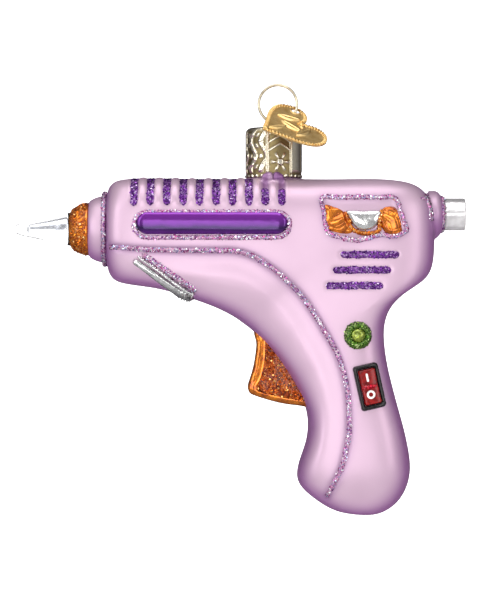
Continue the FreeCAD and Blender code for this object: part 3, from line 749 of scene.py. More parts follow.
def neckTube():
    # the blown neck under the cap, open at the top
    low, top = gun["topZ"] - 0.4, -10.26
    profile = [(low, 0), (low, 5.4), (top - 0.2, 5.4), (top, 5.2), (top, 4.7), (top - 0.2, 4.5),
               (low + 0.6, 4.5), (low + 0.6, 0)]
    bm = bmesh.new()
    bm.from_mesh(skin.data)
    tube = bmesh.new()
    points = [tube.verts.new(((gun["neckX"] + r) * mm, 0, z * mm)) for z, r in profile]
    edges = [tube.edges.new(pair) for pair in zip(points, points[1:])]
    bmesh.ops.spin(tube, geom=points + edges, cent=(gun["neckX"] * mm, 0, 0), axis=(0, 0, 1),
                   angle=2 * math.pi, steps=72,
                   use_merge=True)
    bmesh.ops.remove_doubles(tube, verts=tube.verts, dist=0.001 * mm)
    bmesh.ops.recalc_face_normals(tube, faces=tube.faces)
    mesh = bpy.data.meshes.new("tube")
    tube.to_mesh(mesh)
    tube.free()
    bm.from_mesh(mesh)
    bm.to_mesh(skin.data)
    bm.free()
    skin.data.polygons.foreach_set("use_smooth", [True] * len(skin.data.polygons))


lining()
shapeSkin(skin)
neckTube()
skin.data.materials.append(finishes["lilac"])
graph = bpy.context.evaluated_depsgraph_get()
skinTree = BVHTree.FromObject(skin, graph)
print("relief on the skin")


# things that lie on the skin

def sideCast(side, tree=skinTree, reach=14.0):
    # from a place on the gun's side to the surface under it
    def cast(p):
        start = Vector((p.x, side * 30, p.y)) * mm
        at, normal = tree.ray_cast(start, Vector((0, -side, 0)), 26 * mm)[:2]
        if at is None:
            at, normal = tree.find_nearest(Vector((p.x, side * reach * 0.7, p.y)) * mm)[:2]
        return at, normal
    return cast


def overCast(p):
    # from a place on the ribbed top, given as x and a length round the barrel
    angle = p.y / ribShape["hub"]
    hub = Vector((p.x, 0, gun["topZ"] - ribShape["hub"])) * mm
    return skinTree.ray_cast(hub, Vector((0, math.sin(angle), math.cos(angle))))[:2]


def shelled(bm, depth):
    # closes a patch with a copy of itself sunk into the skin
    bm.normal_update()
    out = bmesh.ops.extrude_face_region(bm, geom=bm.faces[:], use_keep_orig=True)
    copies = [g for g in out["geom"] if isinstance(g, bmesh.types.BMVert)]
    for v in copies:
        v.co -= v.normal * depth * mm
    bmesh.ops.recalc_face_normals(bm, faces=bm.faces)


def faceOut(bm, normals):
    # turns an open patch to face away from the skin, whose normals were met under its points
    bmesh.ops.recalc_face_normals(bm, faces=bm.faces)
    if sum(f.normal.dot(normals[f.verts[0]]) for f in bm.faces) < 0:
        bmesh.ops.reverse_faces(bm, faces=bm.faces[:])


def bead(cast, path, width, height, closed=False, rough=0.12, across=6, seed=1):
    # a drawn line of glue: a low rounded strip along the path
    bm = bmesh.new()
    count = len(path) - 1
    bmesh.ops.create_grid(bm, x_segments=count, y_segments=across, size=1)
    normals = {}
    for v in bm.verts:
        i = round((v.co.x + 1) / 2 * count)
        b = v.co.y
        back, ahead = path[max(i - 1, 0)], path[min(i + 1, count)]
        if closed and i in (0, count):
            back, ahead = path[count - 1], path[1]
        along = (ahead - back).normalized()
        here = path[i]
        wobble = 1 + rough * noise.noise(Vector((here.x * 1.1, here.y * 1.1, seed * 7.3 + (b > 0))))
        reach = width / 2 * wobble
        if not closed:
            fromEnd = min(i, count - i) * (path[1] - path[0]).length
            if fromEnd < reach:
                reach *= math.sqrt(max(1 - (1 - fromEnd / reach) ** 2, 0.02))
        at, normal = cast(here + Vector((-along.y, along.x)) * b * reach)
        rise = height * math.sqrt(max(1 - b * b, 0)) * min(reach * 2 / width, 1) - 0.05
        normals[v] = normal
        v.co = at + normal * rise * mm
    faceOut(bm, normals)
    if closed:
        bmesh.ops.remove_doubles(bm, verts=bm.verts, dist=0.01 * mm)
    return bm


def patch(cast, field, low, high, step, rise):
    # a moulded patch: a grid cut to the field's edge, raised by rise(distance from the edge, place)
    bm = bmesh.new()
    nx, ny = max(2, round((high.x - low.x) / step)), max(2, round((high.y - low.y) / step))
    bmesh.ops.create_grid(bm, x_segments=nx, y_segments=ny, size=1)
    flat = {}
    for v in bm.verts:
        p = Vector((low.x + (v.co.x + 1) / 2 * (high.x - low.x), low.y + (v.co.y + 1) / 2 * (high.y - low.y)))
        flat[v] = [p, field(p)]
    gone = [v for v, (p, d) in flat.items() if d < -0.55 * step]
    for v in gone:
        del flat[v]
    bmesh.ops.delete(bm, geom=gone, context="VERTS")
    loose = [v for v in bm.verts if not v.link_faces]
    for v in loose:
        del flat[v]
    bmesh.ops.delete(bm, geom=loose, context="VERTS")
    for v in bm.verts:
        p, d = flat[v]
        if v.is_boundary or d < 0.3 * step:
            for again in range(3):
                slope = Vector((field(p + Vector((0.02, 0))) - d, field(p + Vector((0, 0.02))) - d)) / 0.02
                p = p - slope * d / max(slope.length_squared, 0.2)
                d = field(p)
            flat[v] = [p, d]
    normals = {}
    for v in bm.verts:
        p, d = flat[v]
        at, normals[v] = cast(p)
        v.co = at + normals[v] * rise(max(d, 0), p) * mm
    faceOut(bm, normals)
    return bm


def halfRound(height, radius, start=0.05):
    def rise(d, p):
        t = min(d / radius, 1.0)
        return start + (height - start) * math.sqrt(max(1 - (1 - t) ** 2, 0))
    return rise


# glitter

flakeShape = {"radius": (0.15, 0.27), "thick": 0.05, "tilt": 0.6, "perMm2": 5.0}
flakeBm = bmesh.new()
bmesh.ops.create_cone(flakeBm, cap_ends=True, segments=6, radius1=1, radius2=0.8, depth=0.3)
flakeMesh = bpy.data.meshes.new("flake")
flakeBm.to_mesh(flakeMesh)
flakeBm.free()
flakePoints = len(flakeMesh.vertices)
flakeCorners = [c for v in flakeMesh.vertices for c in v.co]


def sprinkle(faces, rng, density=1.0, big=1.0, lift=0.03):
    # loose six-sided flakes over the faces, each tipped its own way
    bm = bmesh.new()
    areas = [f.calc_area() for f in faces]
    count = int(sum(areas) / mm ** 2 * flakeShape["perMm2"] * density)
    for f in rng.choices(faces, weights=areas, k=count):
        corners = [v.co for v in f.verts]
        a, b = rng.random(), rng.random()
        low = corners[0].lerp(corners[1], a)
        high = corners[-1].lerp(corners[2], a) if len(corners) == 4 else corners[-1]
        at = low.lerp(high, b)
        tip = Vector((rng.gauss(0, 1), rng.gauss(0, 1), rng.gauss(0, 1))) * flakeShape["tilt"] * 0.6
        turn = (f.normal + tip).to_track_quat("Z",
                "X").to_matrix().to_4x4() @ Matrix.Rotation(rng.random() * 6.28, 4, "Z")
        r = rng.uniform(*flakeShape["radius"]) * big * mm
        size = Matrix.Diagonal((r, r, flakeShape["thick"] * mm, 1))
        flakeMesh.vertices.foreach_set("co", flakeCorners)
        flakeMesh.transform(Matrix.Translation(at
                + f.normal * (lift + rng.random() * 0.06) * mm) @ turn @ size)
        bm.from_mesh(flakeMesh, face_normals=False, vertex_normals=False)
    return bm


def glitterPiece(name, beds, body, slotName, nodes, kind, depth=0.4, density=1.0, big=1.0, seed=5):
    # beds: open patches, each shelled and then sprinkled
    rng = random.Random(seed)
    whole = bmesh.new()
    loose = bmesh.new()
    for bed in beds:
        top = sprinkle([f for f in bed.faces], rng, density, big)
        mesh = bpy.data.meshes.new("loose")
        top.to_mesh(mesh)
        top.free()
        loose.from_mesh(mesh)
        if depth:
            shelled(bed, depth)
        mesh = bpy.data.meshes.new("bed")
        bed.to_mesh(mesh)
        bed.free()
        whole.from_mesh(mesh)
    bedPoints, bedFaces = len(whole.verts), len(whole.faces)
    mesh = bpy.data.meshes.new("loose")
    loose.to_mesh(mesh)
    loose.free()
    whole.from_mesh(mesh)
    obj = toMesh(whole, name, finishes[kind + "Bed"], finishes[kind + "Flakes"])
    mesh = obj.data
    tints, tint = [], 0.0
    for i in range(len(mesh.vertices)):
        if i >= bedPoints and (i - bedPoints) % flakePoints == 0:
            tint = rng.random()
        tints.append(tint)
    mesh.attributes.new("tint", "FLOAT", "POINT").data.foreach_set("value", tints)
    mesh.polygons.foreach_set("material_index", [int(i >= bedFaces) for i in range(len(mesh.polygons))])
    mesh.polygons.foreach_set("use_smooth", [i < bedFaces for i in range(len(mesh.polygons))])
    finishPiece(obj, body, slotName, *nodes)
    print(name, len(mesh.polygons), "faces")
    return obj


def together(beds, name, *materials):
    whole = bmesh.new()
    for bed in beds:
        mesh = bpy.data.meshes.new("part")
        bed.to_mesh(mesh)
        bed.free()
        whole.from_mesh(mesh)
    return toMesh(whole, name, *materials)


def mouldedPiece(name, beds, depth, body, slotName, nodes, finish):
    for bed in beds:
        shelled(bed, depth)
    obj = together(beds, name, finishes[finish])
    finishPiece(obj, body, slotName, *nodes)
    return obj


sides = (-1, 1)


def ribGlitter():
    beds = []
    landing = 7.1
    for k, x in enumerate(ribX):
        spans = [(-ribShape["reach"], ribShape["reach"])]
        if abs(x - gun["neckX"]) < landing + 0.6:
            stop = math.sqrt(max(landing ** 2 - (x - gun["neckX"]) ** 2, 0)) + 0.7
            if k >= 8:
                stop = 9.9
            spans = [(-ribShape["reach"], -stop), (stop, ribShape["reach"])]
        for a, b in spans:
            path = softLine([(x, a), (x, b)], step=0.4)
            beds.append(bead(overCast, path, ribShape["width"], 0.32, seed=k))
    glitterPiece("ribGlitter", beds, "glass", "purple_glitter", ["rib_glitter"], "purple", seed=11)


def sideBeads(name, node, slotName, kind, line, width, height, closed=False, seed=3, step=0.35, density=1.0):
    beds = []
    for side in sides:
        path = line if isinstance(line, list) else onSide(line, closed, step)
        beds.append(bead(sideCast(side), path, width, height, closed, seed=seed + side))
    glitterPiece(name, beds, "glass", slotName, [node], kind, seed=seed, density=density)


def capsuleLine(centre, length, width, slope=0.0, step=0.35):
    # the walk round a round-ended bar
    lean = math.radians(slope)
    turn = Matrix.Rotation(-lean, 2)
    r = width / 2
    points = []
    for end, start in ((1, -90), (-1, 90)):
        for k in range(9):
            angle = math.radians(start + k * 22.5)
            points.append(turn @ Vector((end * (length / 2 - r) + r * math.cos(angle), r * math.sin(angle)))
                          + centre)
    even = []
    for a, b in zip(points, points[1:] + points[:1]):
        parts = max(1, round((b - a).length / step))
        even += [a.lerp(b, k / parts) for k in range(parts)]
    return even + [even[0].copy()]


barShape = {"centre": Vector((place(0.322, 0)[0], gun["topZ"] - 10.25)), "length": 33.7, "width": 5.2,
            "rise": 0.9}


def sideBars():
    c, l, w = barShape["centre"], barShape["length"], barShape["width"]
    field = capsuleField(c, l, w)
    low, high = c - Vector((l / 2 + 0.2, w / 2 + 0.2)), c + Vector((l / 2 + 0.2, w / 2 + 0.2))
    beds = [patch(sideCast(s), field, low, high, 0.33, halfRound(barShape["rise"], w / 2 * 0.9))
            for s in sides]
    mouldedPiece("sideBars", beds, 0.5, "glass", "violet_lacquer", ["side_bars"], "violet")
    ring = capsuleLine(c - Vector((0, 0.45)), l + 0.9, w + 0.45)
    sideBeads("barGlitter", "bar_outline_glitter", "iridescent_glitter", "ice", ring, 1.05, 0.4, True, 21)


def windowParts():
    beds = []
    for side in sides:
        for name in ("leftFacet", "rightFacet"):
            outline = onSide(name, True, 0.5)
            low = Vector((min(p.x for p in outline), min(p.y for p in outline))) - Vector((0.1, 0.1))
            high = Vector((max(p.x for p in outline), max(p.y for p in outline))) + Vector((0.1, 0.1))
            focus = Vector(place(0.775, 0.075))

            def crumple(d, p, focus=focus):
                # creases that fan out from above the stick
                angle = math.atan2(p.y - focus.y, p.x - focus.x)
                fold = abs(noise.noise(Vector((angle * 3.0, (p - focus).length * 0.16, 3.1))))
                cross = noise.noise(Vector((p.x * 0.4, p.y * 0.4, 8.0)))
                return 0.02 + (0.95 * fold + 0.25 * cross + 0.26) * smoothStep(0, 0.8, d)
            beds.append(patch(sideCast(side), lambda p: insideLine(p, outline), low, high, 0.22, crumple))
    mouldedPiece("windowFacets", beds, 0.5, "glass", "copper_lacquer", ["window_facets"], "copper")
    beds = []
    outline = onSide("stick", True, 0.5)
    low = Vector((min(p.x for p in outline), min(p.y for p in outline))) - Vector((0.1, 0.1))
    high = Vector((max(p.x for p in outline), max(p.y for p in outline))) + Vector((0.1, 0.1))
    for side in sides:
        beds.append(patch(sideCast(side), lambda p: insideLine(p, outline), low, high, 0.25,
                          halfRound(1.0, 2.2)))
    mouldedPiece("windowSticks", beds, 0.5, "glass", "silver_lacquer", ["window_glue_sticks"], "silver")
    sideBeads("windowCopper", "window_copper_glitter", "copper_glitter", "copper", "copper", 1.05, 0.6,
              seed=31)
    sideBeads("windowGlitter", "window_frame_glitter", "iridescent_glitter", "ice", "window", 1.05, 0.40,
              True, 33)


def ventGlitter():
    beds = []
    for side in sides:
        for k in range(len(vents)):
            x, z = ventFront(k)
            line = softLine([(x + 0.1, z), (x + ventShape["glitterEnd"] - ventShape["taper"] * k, z)],
                            step=0.35)
            beds.append(bead(sideCast(side), line, 1.7, 0.26, rough=0.2, seed=40 + k))
    glitterPiece("ventGlitter", beds, "glass", "purple_glitter", ["vent_glitter"], "purple", seed=41)


standShape = {"at": (0.175, 0.297), "length": 15.8, "slope": 34.6, "broad": 1.6, "rail": 0.6}


def stands():
    lean = math.radians(standShape["slope"])
    up = Vector((math.sin(lean), math.cos(lean)))
    centre = Vector(place(*standShape["at"]))
    beds = []
    for side in sides:
        for offset, width, height in ((-0.3, standShape["broad"], 1.0), (0.95, standShape["rail"], 0.95)):
            c = centre + up * offset
            field = capsuleField(c, standShape["length"] - abs(offset), width, standShape["slope"])
            reach = Vector((standShape["length"] / 2 + 0.5, standShape["length"] / 2 * 0.62 + 0.5))
            beds.append(patch(sideCast(side), field, c - reach, c + reach, 0.2, halfRound(height, width / 2)))
    mouldedPiece("standBars", beds, 0.6, "glass", "silver_lacquer", ["stands"], "silver")
    along = Vector((math.cos(lean), -math.sin(lean)))
    c = centre + up * 1.95
    line = softLine([c - along * 6.9, c + along * 7.7], step=0.35)
    sideBeads("standGlitter", "stand_glitter", "iridescent_glitter", "ice", line, 1.35, 0.4, False, 51)


def buttons():
    c = Vector(place(0.7595, 0.4614))
    reach = Vector((3.3, 3.3))
    domes, rings = [], []
    for side in sides:
        domes.append(patch(sideCast(side), lambda p: 1.62 - (p - c).length, c - reach, c + reach, 0.16,
                           halfRound(1.15, 1.6, 0.2)))
        rings.append(patch(sideCast(side), lambda p: min(3.1 - (p - c).length, (p - c).length - 1.3),
                           c - reach, c + reach,
                           0.3, lambda d, p: 0.05 + 0.75 * math.sin(math.pi / 2 * min(d / 0.85, 1))))
    mouldedPiece("buttonDomes", domes, 0.5, "glass", "green_lacquer", ["indicator_buttons"], "green")
    glitterPiece("buttonGlitter", rings, "glass", "green_glitter", ["button_glitter"], "green", seed=61,
                 density=1.2)


switchShape = {"at": (0.793, 0.611), "tilt": 12.5, "width": 5.6, "length": 10.2, "rockerWidth": 3.75,
               "rockerLength": 8.1}


def switches():
    s = switchShape
    c = Vector(place(*s["at"]))
    lean = math.radians(s["tilt"])
    up = Vector((-math.sin(lean), math.cos(lean)))
    across = Vector((math.cos(lean), math.sin(lean)))
    reach = Vector((4.2, 5.9))
    outer = slabField(c, s["width"], s["length"], 0.7, s["tilt"])
    inner = slabField(c, s["rockerWidth"], s["rockerLength"], 0.4, s["tilt"])
    frames, rockers, marks = [], [], []
    for side in sides:
        frames.append(patch(sideCast(side), lambda p: min(outer(p), -inner(p)), c - reach, c + reach, 0.18,
                            halfRound(0.75, 0.45)))

        def rocker(d, p):
            # two halves that slope up to the ends, as a rocker does
            along = (p - c).dot(up)
            return 0.35 + min(d / 0.25, 1) * (0.42 + 0.10 * abs(along))
        rockers.append(patch(sideCast(side), inner, c - reach, c + reach, 0.2, rocker))
    mouldedPiece("switchBezels", frames, 0.5, "glass", "black_lacquer", ["switch_bezels"], "black")
    rockerPiece = mouldedPiece("switchRockers", rockers, 0.5, "glass", "red_lacquer", ["switch_rockers"],
                               "red")
    tree = BVHTree.FromObject(rockerPiece, bpy.context.evaluated_depsgraph_get())
    line = softLine([c - across * 1.75, c + across * 1.75], step=0.3)
    beds = [bead(sideCast(side, tree), line, 0.75, 0.3, seed=70) for side in sides]
    glitterPiece("switchGlitter", beds, "glass", "red_glitter", ["switch_glitter"], "red", depth=0.25,
                 seed=71)
    high, low = c + up * 2.1, c - up * 1.75
    for side in sides:
        stroke = capsuleField(high, 1.9, 0.46, 90 - s["tilt"])
        box = Vector((1.2, 1.2))
        marks.append(patch(sideCast(side, tree), stroke, high - box, high + box, 0.11, lambda d, p: 0.06))
        marks.append(patch(sideCast(side, tree),
                           lambda p: min(0.95 - (p - low).length, (p - low).length - 0.5), low - box,
                           low + box, 0.12, lambda d, p: 0.06))
    mouldedPiece("switchMarks", marks, 0.12, "glass", "white_paint", ["switch_marks"], "white")


def turnedPiece(name, profile, axisZ, finish, slotName, node, steps=96):
    bm = bmesh.new()
    turned(bm, profile, axisZ, steps)
    obj = toMesh(bm, name, finishes[finish])
    finishPiece(obj, "glass", slotName, node)
    return obj


frontShape = {
    "collarX": gun["noseX"] - 8.4,
    "nozzle": [(0.0, 0.0), (0.0, 0.9), (0.5, 1.1), (1.5, 1.5), (4.2, 2.0), (7.9, 2.8), (10.5, 3.5),
               (12.4, 3.75)],
    "nozzleWall": 0.75,
    "collar": [(0.0, 3.75), (1.07, 4.88), (2.58, 5.58), (4.3, 6.0)],
    "stub": [(0.0, 3.65), (4.3, 3.65), (5.1, 3.65), (5.1, 2.85), (5.1, 0.0)],
}


def ringBed(profile, axisZ, steps=72):
    # an open turned band to sprinkle
    bm = bmesh.new()
    turned(bm, profile, axisZ, steps)
    faceOut(bm, {v: Vector((0, v.co.y, v.co.z - axisZ * mm)) for v in bm.verts})
    return bm


def arcProfile(x, r, size, start, end, cuts=8):
    return [(x + size * math.cos(math.radians(start + (end - start) * k / cuts)),
             r + size * math.sin(math.radians(start + (end - start) * k / cuts))) for k in range(cuts + 1)]


def frontEnd():
    axis = gun["topZ"] - gun["nozzleDrop"]
    tipX = frontShape["collarX"] - 12.4
    line = rounded([(tipX + x, r) for x, r in frontShape["nozzle"]])
    wall = frontShape["nozzleWall"]
    inner = [(x + 0.6, max(r - wall, 0.0)) for x, r in line if x > tipX + 2.2]
    inner = [(inner[0][0] - 0.4, 0.0)] + inner[:-1] + [(line[-1][0], line[-1][1] - wall)]
    turnedPiece("nozzle", line + inner[::-1], axis, "glass", "silvered_glass", "glass_nozzle")
    core = [(x + 0.1, max(r - 0.04, 0)) for x, r in inner[:-1]] + [(inner[-1][0], inner[-1][1] - 0.04),
            (inner[-1][0], 0.0)]
    bm = bmesh.new()
    turned(bm, core, axis, 96)
    silver = toMesh(bm, "nozzleSilver", finishes["mirror"])
    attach(silver, "glass")
    collar = rounded([(frontShape["collarX"] + x, r) for x, r in frontShape["collar"]])
    turnedPiece("collar", [(collar[0][0], 0)] + collar + [(collar[-1][0], 0)], axis, "copper",
                "copper_lacquer", "glass_collar")
    bed = ringBed([(x, r + 0.12) for x, r in collar[1:-1]], axis)
    glitterPiece("collarGlitter", [bed], "glass", "copper_glitter", ["collar_glitter"], "copper", depth=0.15,
                 seed=81, density=0.7)
    bed = ringBed(arcProfile(gun["noseX"] - 0.45, 8.0, 0.5, 5, 175), axis)
    glitterPiece("domeGlitter", [bed], "glass", "iridescent_glitter", ["dome_seam_glitter"], "ice",
                 depth=0.2, seed=83)


def rearEnd():
    axis = gun["topZ"] - gun["bossDrop"]
    stubX = gun["noseX"] + gun["length"] + 1.8
    bm = bmesh.new()
    line = rounded([(stubX + x, r) for x, r in frontShape["stub"]])
    turned(bm, [(line[0][0], 0)] + line, axis, 72)
    for v in bm.verts:
        # a moulded stick isn't quite round: eight soft flats
        spoke = Vector((0, v.co.y, v.co.z - axis * mm))
        angle = math.atan2(spoke.y, spoke.z)
        v.co += spoke * 0.035 * (math.cos(8 * angle) - 1) * 0.5
    obj = toMesh(bm, "glueStickEnd", finishes["pearl"])
    finishPiece(obj, "glass", "pearl_lacquer", "glass_glue_stick_end")
    bed = ringBed(arcProfile(stubX - 0.05, 3.8, 0.35, 0, 180), axis, 48)
    glitterPiece("stubGlitter", [bed], "glass", "iridescent_glitter", ["stub_glitter"], "ice", depth=0.15,
                 seed=91, density=0.8)
    sideBeads("bossGlitter", "boss_glitter", "iridescent_glitter", "ice", "boss", 0.95, 0.4, seed=93)


triggerShape = {"half": 4.2, "edge": 1.1}


def trigger():
    bm = bmesh.new()
    outline = onSide("trigger", True, 0.7)[:-1]
    flat = bm.faces.new([bm.verts.new((p.x * mm, -triggerShape["half"] * mm, p.y * mm)) for p in outline])
    out = bmesh.ops.extrude_face_region(bm, geom=[flat], use_keep_orig=True)
    moved = [g for g in out["geom"] if isinstance(g, bmesh.types.BMVert)]
    bmesh.ops.translate(bm, verts=moved, vec=(0, 2 * triggerShape["half"] * mm, 0))
    bmesh.ops.recalc_face_normals(bm, faces=bm.faces)
    rims = [e for e in bm.edges if abs(abs(e.verts[0].co.y) - triggerShape["half"] * mm) < 1e-6
            and abs(e.verts[0].co.y - e.verts[1].co.y) < 1e-6]
    bmesh.ops.bevel(bm, geom=rims, offset=triggerShape["edge"] * mm, segments=5, affect="EDGES", profile=0.5,
                    material=-1)
    bmesh.ops.triangulate(bm, faces=[f for f in bm.faces if len(f.verts) > 4])
    obj = toMesh(bm, "trigger", finishes["copper"])
    melt = obj.modifiers.new("melt", "REMESH")
    melt.mode = "VOXEL"
    melt.voxel_size = 0.3 * mm
    soften = obj.modifiers.new("soften", "SMOOTH")
    soften.factor = 0.5
    soften.iterations = 4
    applied(obj)
    panel = onSide("triggerPanel", True, 0.6)
    for v in obj.data.vertices:
        # the raised ridge in front of the glitter, and the glitter's panel sunk a little
        d = insideLine(Vector((v.co.x, v.co.z)) / mm, panel)
        if abs(v.co.y) > 2.2 * mm:
            v.co += v.normal * mm * (0.34 * math.exp(-((d + 0.5) / 0.5) ** 2) - 0.22 * smoothStep(-0.1, 0.5,
                    d))
    obj.data.update()
    obj.data.polygons.foreach_set("use_smooth", [True] * len(obj.data.polygons))
    finishPiece(obj, "glass", "copper_lacquer", "glass_trigger")
    tree = BVHTree.FromObject(obj, bpy.context.evaluated_depsgraph_get())
    low = Vector((min(p.x for p in panel), min(p.y for p in panel)))
    high = Vector((max(p.x for p in panel), max(p.y for p in panel)))
    beds = [patch(sideCast(s, tree), lambda p: insideLine(p, panel), low, high, 0.35, lambda d,
                  p: 0.03 + 0.15 * min(d, 1))
            for s in sides]
    glitterPiece("triggerGlitter", beds, "glass", "copper_glitter", ["trigger_glitter"], "rust", depth=0.2,
                 seed=101, density=0.8)


ribGlitter()
sideBars()
windowParts()
ventGlitter()
stands()
buttons()
switches()
sideBeads("seamGlitter", "seam_glitter", "iridescent_glitter", "ice", "seam", 1.08, 0.34, seed=7)
frontEnd()
rearEnd()
trigger()
finishPiece(skin, "glass", "lilac_lacquer", "glass_body")
print("glass pieces done")

# cap, tag, ring and wire

capShape = {"height": 11.3, "wall": 0.3, "edge": 1.1, "lift": 0.08, "flutes": 28}


def capRelief(angle, h):
    # height of the stamped pattern in mm, at an angle from the front in degrees and a share of the height
    a = (angle + 74) % 180 - 74
    seams = ((-74, 0.22), (-14, 0.30), (37, 0.16), (106, 0.22))
    panel = min(smoothStep(0.5, 4.0, abs(a - at)) for at, size in seams)
    rib = max(size * math.exp(-((abs(a - at) - 1.8) / 1.3) ** 2) for at, size in seams)
    inField = smoothStep(0.06, 0.16, h) * smoothStep(0.97, 0.86, h)
    if a < -14:
        # pebbled scrolls in upright waves
        wave = math.sin(math.radians(a * 13) + 1.6 * math.sin(h * 11.0))
        pebble = math.sin(h * 42 + 2.6 * math.sin(math.radians(a * 9)))
        relief = 0.20 * smoothStep(-0.2, 0.8, wave) + 0.12 * max(pebble, 0) * smoothStep(-0.1, 0.6, wave)
        relief += 0.13 * smoothStep(0.3, 0.9, -wave) * smoothStep(0.0, 0.8, math.cos(h * 30))
    elif a < 37:
        # a rosette on a fan
        dx, dy = (a - 13) * 0.113, (h - 0.30) * capShape["height"]
        r = math.hypot(dx, dy)
        leaf = math.cos(math.atan2(dy, dx) * 6)
        relief = 0.34 * smoothStep(0.9, 0.55, r) + 0.20 * smoothStep(0.25, 0.9, leaf) * smoothStep(2.6, 1.5,
                r) * smoothStep(0.8, 1.1, r)
        relief += 0.10 * smoothStep(0.2, 1.0, math.sin(dy * 3.4 + abs(dx) * 2.0)) * smoothStep(2.2, 3.2, r)
    else:
        relief = 0.14 - 0.13 * math.exp(-((a - 69) / 2.0) ** 2)
    return relief * panel * inField + rib * smoothStep(0.04, 0.12, h) * smoothStep(1.0, 0.92, h)


def cap():
    r, wall, edge = gun["capR"], capShape["wall"], capShape["edge"]
    low = gun["topZ"] + capShape["lift"] + 0.15
    top = low + capShape["height"]
    outer = [(low + 0.02 + (top - edge - low) * k / 90, r - 0.22) for k in range(91)]
    outer += [(top - edge + edge * math.sin(math.radians(a)),
               r - 0.22 - edge + edge * math.cos(math.radians(a)))
              for a in range(9, 91, 9)]
    outer += [(top, 4.2), (top, 3.2), (top, 0)]
    inner = [(top - wall, 0), (top - wall, r - edge - wall), (top - edge, r - 0.24 - wall),
             (low + 0.02, r - 0.24 - wall)]
    bm = bmesh.new()
    points = [bm.verts.new(((gun["neckX"] + rr) * mm, 0, z * mm)) for z, rr in inner + outer]
    edges = [bm.edges.new(pair) for pair in zip(points, points[1:])]
    centre = (gun["neckX"] * mm, 0, 0)
    bmesh.ops.spin(bm, geom=points + edges, cent=centre, axis=(0, 0, 1), angle=2 * math.pi, steps=400,
                   use_merge=True)
    bmesh.ops.remove_doubles(bm, verts=bm.verts, dist=0.001 * mm)
    bmesh.ops.recalc_face_normals(bm, faces=bm.faces)
    obj = toMesh(bm, "cap", finishes["cap"])
    hollows = []
    for v in obj.data.vertices:
        x, y, z = v.co / mm
        away = math.hypot(x - gun["neckX"], y)
        h = (z - low) / capShape["height"]
        # how much darker the metal is drawn: 0.4 inside and on the middle of the top, more where the stamped
        # pattern is low
        hollow = 0.4
        if away > r - 0.23 - edge and z > low - 0.1 and away > r - 0.23 - (0.01 if z < top - edge else 9):
            angle = math.degrees(math.atan2(x - gun["neckX"], -y))
            rise = capRelief(angle, h)
            if h < 0.05:
                rise = max(rise, 0.12 + 0.10 * math.cos(math.radians(angle * capShape["flutes"])))
                z += 0.16 * max(0.0, math.cos(math.radians(angle * capShape["flutes"])))
            fade = smoothStep(0.0, 0.4, away - 3.5)
            scale = (away + rise * fade) / away
            v.co = Vector((gun["neckX"] + (x - gun["neckX"]) * scale, y * scale, z)) * mm
            hollow = smoothStep(0.16, 0.0, rise) * smoothStep(0.99, 0.9, h)
        hollows.append(hollow)
    obj.data.attributes.new("hollow", "FLOAT", "POINT").data.foreach_set("value", hollows)
    obj.data.update()
    finishPiece(obj, "cap", "champagne_metal", "metal_cap")


tagShape = {
    "half": 8.6, "thick": 0.35, "notches": 66, "hole": (-0.63, 0.547), "holeR": 0.95,
    "hang": 22.7, "slope": -16.6, "tilt": 57.0, "spin": -49.2,
    # middle x, z, turn, half length, half width, in half widths of the heart
    "leaves": [(-0.36, 0.16, 0.9, 0.30, 0.13), (0.02, -0.02, 0.4, 0.30, 0.12), (0.36, 0.16, 1.9, 0.30, 0.13),
               (-0.02, -0.42, 1.5, 0.26, 0.10), (0.02, 0.34, 2.6, 0.20, 0.09)],
}


def heartAt(t):
    # a round-lobed heart, 2 wide and point down
    x = 16 * math.sin(t) ** 3
    z = 13 * math.cos(t) - 5 * math.cos(2 * t) - 2 * math.cos(3 * t) - math.cos(4 * t)
    return Vector((x, z)) / 16




